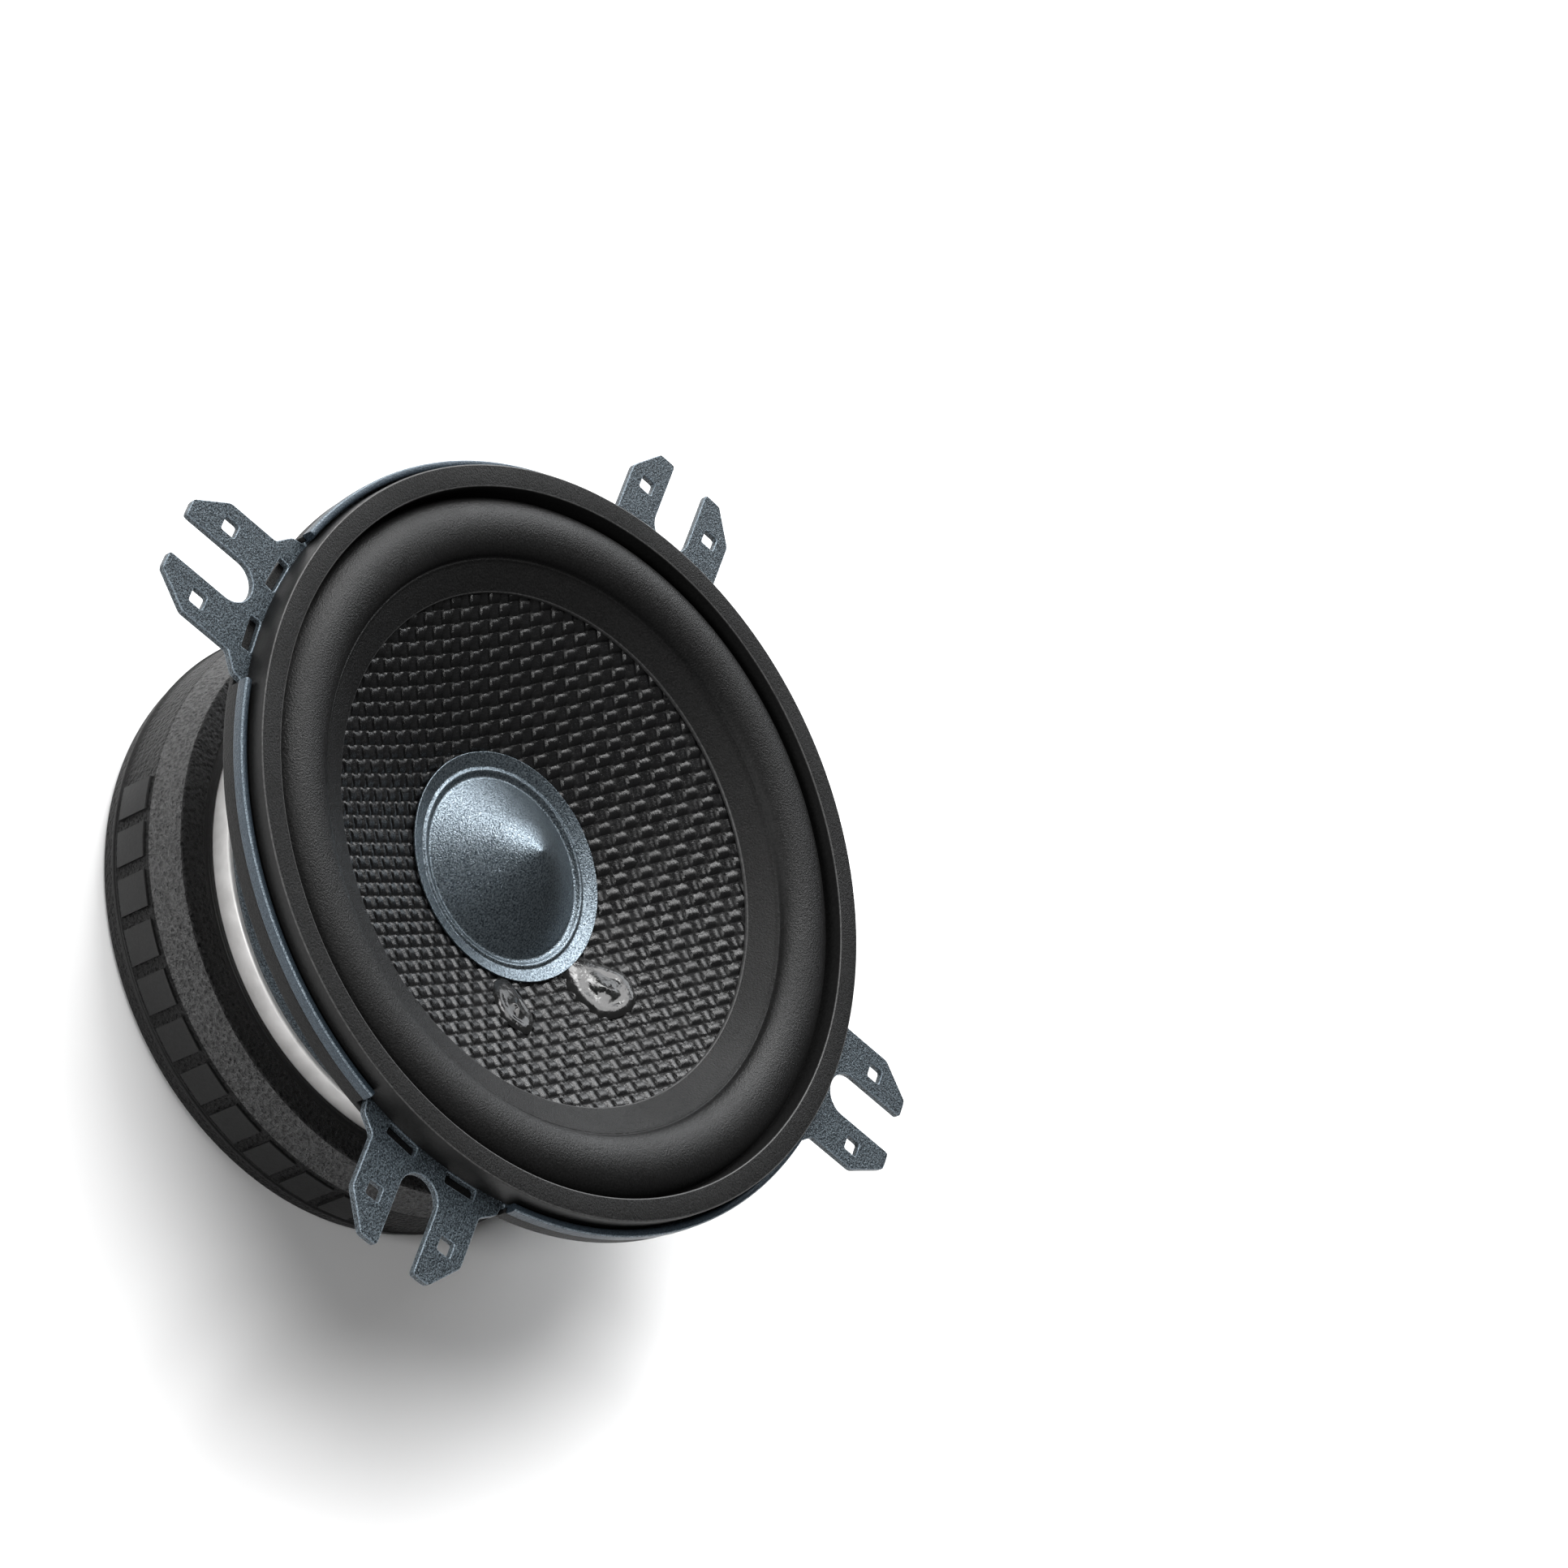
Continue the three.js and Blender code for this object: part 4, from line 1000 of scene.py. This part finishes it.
def make_dab(name, angle, length, width, tail, node, adhesive):
    bm = bmesh.new()
    bmesh.ops.create_uvsphere(bm, u_segments=64, v_segments=48, radius=1)
    for vertex in bm.verts:
        x, y, z = vertex.co
        inward = max(0.0, -x)
        around = math.atan2(y, x)
        spot = math.hypot(x, y)
        edge = 1 + 0.05 * math.sin(2 * around + 1) + 0.03 * math.sin(5 * around)
        lump = 0.34 * math.exp(-((spot / 0.3) ** 2)) * (1 + 0.5 * math.sin(2 * around + 1))
        moat = 0.1 * math.exp(-(((spot - 0.5) / 0.14) ** 2)) * (1 + 0.8 * math.sin(3 * around + 2))
        lift = 0.62 * (1 - spot ** 6) + (lump - moat) * 0.8 if z > 0 else 0.3 * z
        along = x * length * edge - tail * inward ** 2
        across = y * width * edge * (1 - 0.2 * inward ** 2)
        vertex.co = Vector((along, across, lift))
    slope = Matrix.Rotation(-math.atan(CONE_SLOPE), 4, "Y")
    place = Matrix.Translation((DAB_RADIUS, 0, cone_front(DAB_RADIUS) + 0.15))
    bmesh.ops.transform(bm, matrix=place @ slope, verts=bm.verts)
    all_ways = {"use_axis_x": True, "use_axis_y": True, "use_axis_z": True}
    bmesh.ops.smooth_vert(bm, verts=bm.verts, factor=0.5, **all_ways)
    return piece(name, bm, adhesive, MOVING_BODY, [node], crease=180, turn=angle)


make_dab("adhesive_dab_positive", TERMINAL_ANGLE + DAB_SPREAD, 4.0, 5.0, 3.0,
         "lead_glue_dab_positive", wet_adhesive)
make_dab("adhesive_dab_negative", TERMINAL_ANGLE - DAB_SPREAD, 3.6, 3.3, 2.4,
         "lead_glue_dab_negative", dull_adhesive)
print("two dabs made")

# %% [markdown]
# ## Magnet stack
# Behind the basket sit the plated top plate, the ferrite ring and the yoke, in a rubber boot. The
# boot hides most of them. Its side has a bold chamfer at the front, a thin raised line near the back and
# two rows of smooth raised pads. In front it turns in to a lip round the top plate's bright edge.

# %% Magnet stack
def make_top_plate():
    back, front, outer = low("top_plate"), high("top_plate") + 0.28, reach("top_plate")
    bore = 14.2
    bm = turned([(bore, back, 0.3), (outer, back, 0.3), (outer, front, 0.35), (bore, front, 0.3)], steps=160)
    return piece("top_plate_disc", bm, zinc_white, stands_for=["top_plate"])


def make_magnet():
    back, front, outer = low("magnet"), high("magnet"), reach("magnet")
    bore = 18
    bm = turned([(bore, back, 0.5), (outer, back, 0.6), (outer, front, 0.6), (bore, front, 0.5)], steps=160)
    return piece("magnet_ring", bm, ferrite, stands_for=["magnet"])


def make_yoke():
    back, front, outer = low("yoke"), high("yoke"), reach("yoke")
    plate_top = back + 4
    vent, pole = 4, 12.1
    bm = turned([
        (vent, back, 0.8), (outer, back, 0.5), (outer, plate_top, 0.5), (pole, plate_top, 0.6),
        (pole, front, 0.8), (vent, front, 0.8),
    ], steps=160)
    return piece("yoke_and_pole", bm, nickel, stands_for=["yoke"])


make_top_plate()
make_magnet()
make_yoke()
print("magnet stack made")

# %% [markdown]
# The boot is one turned outline, from its back opening round the side to the front lip. The faces of the
# thin inner edge are smooth, the rest is grained. The pads on its side are part turns of one small section.

# %% Boot
BOOT_RADIUS = reach("magnet_boot")
BOOT_TOP = high("magnet_boot")


def make_boot():
    opening = BOOT_RADIUS - 12
    wall = BOOT_RADIUS - 1.2
    mouth = reach("top_plate") + 0.15
    front = BOOT_TOP - 0.5
    bm = turned([
        (opening, 0, 0.5), (BOOT_RADIUS - 0.5, 0, 1.0), (BOOT_RADIUS - 0.1, 2.9, 0.2),
        (BOOT_RADIUS + 0.2, 3.05, 0.1), (BOOT_RADIUS + 0.2, 3.4, 0.1), (BOOT_RADIUS - 0.05, 3.55, 0.1),
        (BOOT_RADIUS, BOOT_TOP - 5.6, 0.3), (BOOT_RADIUS - 1.7, front, 0.3),
        (mouth + 1.5, front, 0.2), (mouth + 1.35, front - 0.3, 0.1), (mouth + 0.75, front - 0.3, 0.1),
        (mouth + 0.6, front - 0.1, 0.08), (mouth, front - 0.15, 0.12), (mouth, BOOT_TOP - 2, 0.1),
        (BOOT_RADIUS - 3, BOOT_TOP - 2), (wall, BOOT_TOP - 5.5), (wall, 1.3), (opening, 1.3, 0.4),
    ], steps=200, segments=4)
    made = piece("boot", bm, boot_rubber, stands_for=["magnet_boot"], crease=50)

    def on_lip_or_line(face):
        radius, height = face.center.xy.length / MM, face.center.z / MM
        return radius < mouth + 1.4 and height > BOOT_TOP - 3 or 2.8 < height < 4.2

    def on_chamfer(face):
        radius, height = face.center.xy.length / MM, face.center.z / MM
        return radius > BOOT_RADIUS - 1.6 and BOOT_TOP - 5.4 < height < front - 0.2

    paint_faces(made, smooth_rubber, on_lip_or_line)
    # The chamfer gets the lighter rubber, a painted highlight.
    paint_faces(made, chamfer_highlight_rubber, on_chamfer)
    return made


def make_boot_pads():
    """Two rows of smooth raised grip pads on the boot's grained side."""
    bm = bmesh.new()
    back, front = 4.3, 9.9
    deep, tall = BOOT_RADIUS - 0.4, BOOT_RADIUS + 0.35
    section = [(deep, back), (tall, back, 0.15), (tall, front, 0.15), (deep, front)]
    for middle in (150, 330):
        for i in range(11):
            turned(section, steps=8, start=middle - 49 + 9 * i, sweep=6.6, into=bm)
    return piece("boot_grip_pads", bm, smooth_rubber, stands_for=["magnet_boot"], crease=50)


boot = make_boot()
boot_pads = make_boot_pads()
print("boot:", len(boot.data.polygons), "faces, and its pads", len(boot_pads.data.polygons))

# %% [markdown]
# ## Voice coil and spider
# The former is a thin amber tube, and the winding on it is enamelled copper wire. Each turn of wire is only
# a hair thick, so the winding's outline has one small bump for each turn instead of a wire of its own. The
# spider is a corrugated cloth disc. Its waves are a sine curve, thickened and turned.

# %% Voice coil
def make_former():
    back, front = low("voice_coil_former"), high("voice_coil_former")
    bm = turned([
        (COIL_RADIUS, back, 0.1), (COIL_RADIUS + 0.4, back, 0.1), (COIL_RADIUS + 0.4, front, 0.1),
        (COIL_RADIUS, front, 0.1),
    ], steps=96)
    return piece("coil_former", bm, amber_film, MOVING_BODY, ["voice_coil_former"])


def make_winding():
    back, front = low("voice_coil_winding"), high("voice_coil_winding")
    inner, turns = COIL_RADIUS + 0.45, 24
    groove, crest = inner + 0.5, inner + 0.6
    wire = (front - back) / turns
    outline = [(inner, back), (groove, back)]
    for i in range(turns):
        outline += [(crest, back + wire * (i + 0.5)), (groove, back + wire * (i + 1))]
    bm = turned(outline + [(inner, front)], steps=96)
    return piece("coil_winding", bm, copper, MOVING_BODY, ["voice_coil_winding"], crease=180)


SPIDER_LEVEL = BASKET_BACK + 6.75
SPIDER_OUTER = reach("spider_ring")
SPIDER_RING_INNER = SPIDER_OUTER - 3.8
SPIDER_COLLAR = COIL_RADIUS + 0.5


def make_spider():
    waves, steps = 4, 96
    cloth = 0.4
    start, end = SPIDER_COLLAR + 0.8, SPIDER_RING_INNER
    over, under = [], []
    for i in range(steps + 1):
        share = i / steps
        radius = start + (end - start) * share
        height = SPIDER_LEVEL - 0.8 * math.sin(2 * math.pi * waves * share)
        over.append((radius, height + cloth / 2))
        under.append((radius, height - cloth / 2))
    foot = SPIDER_LEVEL - cloth / 2
    rim, neck = SPIDER_OUTER - 0.2, SPIDER_COLLAR + 0.4
    edge = [(rim, foot), (rim, foot + cloth)]
    collar = [(neck, foot + cloth), (neck, foot + 1.4), (SPIDER_COLLAR, foot + 1.4)]
    outline = [(SPIDER_COLLAR, foot)] + under + edge + list(reversed(over)) + collar
    bm = turned(outline, steps=96)
    made = piece("spider_disc", bm, spider_cloth,
                 body=None, stands_for=["spider"], crease=80)
    weigh_by_radius(made)
    return made


def make_spider_ring():
    back, front = BASKET_BACK + SHEET, SPIDER_LEVEL - 0.22
    bm = turned([
        (SPIDER_RING_INNER, back, 0.2), (SPIDER_OUTER, back, 0.2), (SPIDER_OUTER, front, 0.3),
        (SPIDER_RING_INNER, front, 0.3),
    ], steps=120)
    return piece("spider_landing_ring", bm, moulding, stands_for=["spider_ring"])


make_former()
make_winding()
make_spider()
make_spider_ring()
print("voice coil and spider made")

# %% [markdown]
# ## Rivets
# Four dome-headed rivets hold the basket to the top plate. They are small turned pieces, made once at the
# axis and then moved out.

# %% Basket rivets
def make_basket_rivets():
    head_foot = BASKET_BACK + SHEET + 0.02
    at = (BOWL_HOLE + SPIDER_RING_INNER) / 2
    for i in range(EARS):
        bm = turned([
            (0, head_foot - 3.4), (1.2, head_foot - 3.4, 0.2), (1.2, head_foot), (2.2, head_foot, 0.15),
            (2.0, head_foot + 0.75, 0.5), (0.9, head_foot + 1.15, 0.4), (0, head_foot + 1.2),
        ], steps=32)
        bmesh.ops.translate(bm, verts=bm.verts, vec=(at, 0, 0))
        name = f"basket_rivet_{i + 1}"
        piece(f"plate_{name}", bm, zinc, stands_for=[name], turn=90 * i)


make_basket_rivets()
print("four rivets made")

# %% [markdown]
# ## Terminals
# In one window a brown board is riveted to a boss on the cup, and two tinned spade tabs pass through it, a
# wide one and a narrow one. Everything is drawn pointing along X and then turned to the window's angle.

# %% Terminal board and boss
BOARD_INNER = CUP_RADIUS + 1.3
BOARD_OUTER = BOARD_INNER + 1.5
TAB_LEVEL = FLANGE - 12.5
TAB_SPREAD = 4.6
TAB_WIDTHS = {"positive": 4.8, "negative": 2.8}
SIDES = {"positive": 1, "negative": -1}
RIVET_SPREAD = 5
RIVET_LEVEL = BASKET_BACK + 2.5
UPRIGHT = Matrix(((0, 0, 1), (1, 0, 0), (0, 1, 0))).to_4x4()


def upright_plate(outlines, near, far):
    """A flat piece drawn in width and height, raised along X from near to far."""
    bm = flat(outlines, near, far)
    bmesh.ops.transform(bm, matrix=UPRIGHT, verts=bm.verts)
    return bm


def make_board():
    bottom, top = low("terminal_board"), high("terminal_board")
    outside = rounded([(-9, bottom, 0.6), (9, bottom, 0.6), (9, top, 1.5), (-9, top, 1.5)], segments=4)
    holes = []
    for name, side in SIDES.items():
        tab_hole = rectangle(TAB_WIDTHS[name] / 2, 0.55, 0)
        holes.append([(x + side * TAB_SPREAD, y + TAB_LEVEL) for x, y, _ in tab_hole])
        holes.append(arc((side * RIVET_SPREAD, RIVET_LEVEL), 1.05, 0, 345, 23))
    bm = upright_plate([outside] + holes, BOARD_INNER - 0.25, BOARD_OUTER)
    made = piece("terminal_board_plate", bm, phenolic, stands_for=["terminal_board"],
                 turn=TERMINAL_ANGLE)
    return soften_edges(made, 0.12)


def make_boss():
    outline = rounded([(-7, BASKET_BACK + 0.3, 0.4), (7, BASKET_BACK + 0.3, 0.4),
                       (7, BASKET_BACK + 5.1, 1.2), (-7, BASKET_BACK + 5.1, 1.2)], segments=4)
    bm = upright_plate([outline], CUP_RADIUS - 1.3, CUP_RADIUS + 1)
    made = piece("basket_terminal_boss", bm, powder_coat, stands_for=["basket"],
                 turn=TERMINAL_ANGLE)
    return soften_edges(made, 0.35, segments=3)


make_board()
make_boss()
print("terminal board and boss made")

# %% [markdown]
# Each tab is cut from sheet: a solder lug inside, a neck through the board, a shoulder that stops it and a
# blade with a hole and a tapered tip for the crimped receptacle. A small fillet of solder holds the lead.

# %% Tabs, board rivets and solder
def make_tab(name, side):
    half = TAB_WIDTHS[name] / 2
    neck, shoulder = half - 0.3, half + 0.7
    start, step = BOARD_OUTER + 0.05, BOARD_OUTER + 1.3
    blade = 6.2
    tip = step + blade
    right = [
        (BOARD_INNER - 3.3, -neck, 0.5), (start, -neck), (start, -shoulder, 0.2), (step, -shoulder, 0.3),
        (step, -half), (tip - half / 2, -half, 0.4), (tip, -half / 2, 0.3),
    ]
    outline = rounded(right + [(x, -y, *rest) for x, y, *rest in reversed(right)])
    eye = arc((step + blade * 0.6, 0), half * 0.35, 0, 345, 23)
    bm = flat([outline, eye], TAB_LEVEL - 0.4, TAB_LEVEL + 0.4)
    bmesh.ops.translate(bm, verts=bm.verts, vec=(0, side * TAB_SPREAD, 0))
    made = piece(f"{name}_spade_tab", bm, tin, stands_for=[f"{name}_terminal"],
                 turn=TERMINAL_ANGLE)
    return soften_edges(made, 0.12)


def make_board_rivet(name, side):
    tail, foot, head = CUP_RADIUS - 1.6, CUP_RADIUS - 1.05, BOARD_OUTER
    bm = turned([
        (0, tail), (1.6, tail, 0.3), (1.6, foot, 0.1), (0.9, foot),
        (0.9, head), (1.7, head, 0.1), (1.6, head + 0.6, 0.35), (0.7, head + 0.85, 0.3), (0, head + 0.85),
    ], steps=32)
    along_x = Matrix.Rotation(math.radians(90), 4, "Y")
    place = Matrix.Translation((0, side * RIVET_SPREAD, RIVET_LEVEL))
    bmesh.ops.transform(bm, matrix=place @ along_x, verts=bm.verts)
    return piece(f"{name}_terminal_rivet", bm, zinc, stands_for=[f"{name}_board_rivet"],
                 turn=TERMINAL_ANGLE)


def make_solder(name, side):
    bm = bmesh.new()
    bmesh.ops.create_uvsphere(bm, u_segments=24, v_segments=16, radius=1)
    for vertex in bm.verts:
        x, y, z = vertex.co
        flare = 1 + 0.35 * max(0.0, -z)
        vertex.co = Vector((1.3 * x * flare, 1.0 * y * flare, 0.75 * z))
    on_lug = BOARD_INNER - 1.9, side * TAB_SPREAD, TAB_LEVEL + 0.55
    bmesh.ops.translate(bm, verts=bm.verts, vec=on_lug)
    return piece(f"{name}_solder", bm, tin, crease=180, turn=TERMINAL_ANGLE)


for tab_name, tab_side in SIDES.items():
    make_tab(tab_name, tab_side)
    make_board_rivet(tab_name, tab_side)
    make_solder(tab_name, tab_side)
print("tabs, rivets and solder made")

# %% [markdown]
# ## Tinsel leads
# Two braided leads carry the current from the tabs to the cone in slack loops, so that they bend without
# pulling. A curve through a few given points gives the route, its bevel gives the round section, and a mesh
# is made from it.

# %% Tinsel leads
LEAD_RADIUS = 0.45
LEAD_AT = 21.2


def lead_points(side):
    angle = math.radians(DAB_SPREAD * side)
    start = Vector((LEAD_AT * math.cos(angle), LEAD_AT * math.sin(angle), cone_front(LEAD_AT) - 0.55))
    end = Vector((BOARD_INNER - 1.65, side * TAB_SPREAD, TAB_LEVEL + 0.85))
    way = end - start

    def between(share_x, share_y, height):
        return Vector((start.x + way.x * share_x, start.y + way.y * share_y, height))

    return [
        start, between(0.08, 0.05, start.z - 2.65), between(0.3, 0.3, start.z - 4.65),
        between(0.6, 0.65, start.z - 4.75), between(0.85, 0.9, end.z + 0.25), end,
    ]


def make_lead(name, side):
    data = bpy.data.curves.new(f"{name}_lead_route", "CURVE")
    data.dimensions = "3D"
    data.bevel_depth = LEAD_RADIUS
    data.bevel_resolution = 4
    data.resolution_u = 8
    data.use_fill_caps = True
    points = lead_points(side)
    spline = data.splines.new("BEZIER")
    spline.bezier_points.add(len(points) - 1)
    for knot, point in zip(spline.bezier_points, points):
        knot.co = point
        knot.handle_left_type = knot.handle_right_type = "AUTO"
    route = show(f"{name}_lead_route", data)
    bpy.context.view_layer.update()
    finished = route.evaluated_get(bpy.context.evaluated_depsgraph_get())
    mesh = bpy.data.meshes.new_from_object(finished)
    bpy.data.objects.remove(route)
    bm = bmesh.new()
    bm.from_mesh(mesh)
    made = piece(f"{name}_tinsel_lead", bm, tinsel_braid, body=None,
                 stands_for=[f"tinsel_lead_{name}"], crease=60, turn=TERMINAL_ANGLE)
    weigh_by_radius(made)
    return made


for lead_name, lead_side in SIDES.items():
    make_lead(lead_name, lead_side)
print("two tinsel leads made")

# %% [markdown]
# ## Floor and light
# The speaker lies on a plain pale floor that fills the view. Soft daylight keeps the floor white out to the
# horizon and throws the shadow. Dark glossy things show what they reflect, so four square lights are there
# for their reflections: the key on the weave, a streak on the cap, one low behind the rim and one on the
# boot's side. A dim sky keeps the shadows open.

# %% Floor and light
def make_floor():
    bm = bmesh.new()
    bmesh.ops.create_grid(bm, x_segments=1, y_segments=1, size=3)
    mesh = bpy.data.meshes.new("floor")
    bm.to_mesh(mesh)
    bm.free()
    made, tree, shader, where = finish("floor_paper", 0.9, specular=0.0)
    paper = spread(tree, grain(tree, where, 400, detail=2), 0.3, 0.7, 0, 1)
    join(tree, shader, tint(tree, paper, (0.88, 0.88, 0.88), (0.90, 0.90, 0.90)))
    mesh.materials.append(made)
    floor = show("floor", mesh)


def soft_light(name, direction, distance, size, power, tone=(1, 1, 1)):
    """A square light that looks at the speaker's middle from a direction."""
    middle = Vector((0, 0, 30 * MM))
    data = bpy.data.lights.new(name, "AREA")
    data.size = size
    data.energy = power
    data.color = tone
    made = show(name, data)
    made.location = middle + Vector(direction).normalized() * distance
    made.rotation_mode = "QUATERNION"
    made.rotation_quaternion = Vector(direction).to_track_quat("Z", "Y")
    made.visible_camera = False
    return made


def daylight(name, direction, strength, spread_angle):
    """A far soft light, as even on the distant floor as under the speaker, and not mirrored by gloss."""
    data = bpy.data.lights.new(name, "SUN")
    data.energy = strength
    data.angle = math.radians(spread_angle)
    made = show(name, data)
    made.rotation_mode = "QUATERNION"
    made.rotation_quaternion = Vector(direction).to_track_quat("Z", "Y")
    made.visible_glossy = False
    return made


def make_sky(seen, given):
    """A plain sky: one brightness where it is seen, another for the light it gives."""
    world = bpy.data.worlds.new("studio")
    bpy.context.scene.world = world
    world.use_nodes = True
    tree = world.node_tree
    background = tree.nodes["Background"]
    background.inputs["Color"].default_value = (1, 1, 1, 1)
    path = tree.nodes.new("ShaderNodeLightPath")
    strength = spread(tree, path.outputs["Is Camera Ray"], 0, 1, given, seen)
    tree.links.new(strength, background.inputs["Strength"])


make_floor()
make_sky(seen=0.95, given=0.1)
soft_light("key_light", (0.68, 0.10, 0.73), 1.6, 0.8, 16.0)
soft_light("streak_light", (0.76, 0.36, 0.55), 1.3, 0.35, 6.0)
daylight("top_light", (0.30, 0.42, 0.86), 3.8, 50)
soft_light("rim_light", (0.93, -0.20, 0.30), 1.2, 0.6, 5.3, tone=(0.94, 0.97, 1.0))
soft_light("side_light", (-0.62, 0.78, 0.40), 1.2, 0.4, 7.0)
bpy.context.scene.view_settings.view_transform = "Standard"
bpy.context.scene.view_settings.look = "None"
print("floor, five lights and a sky made")
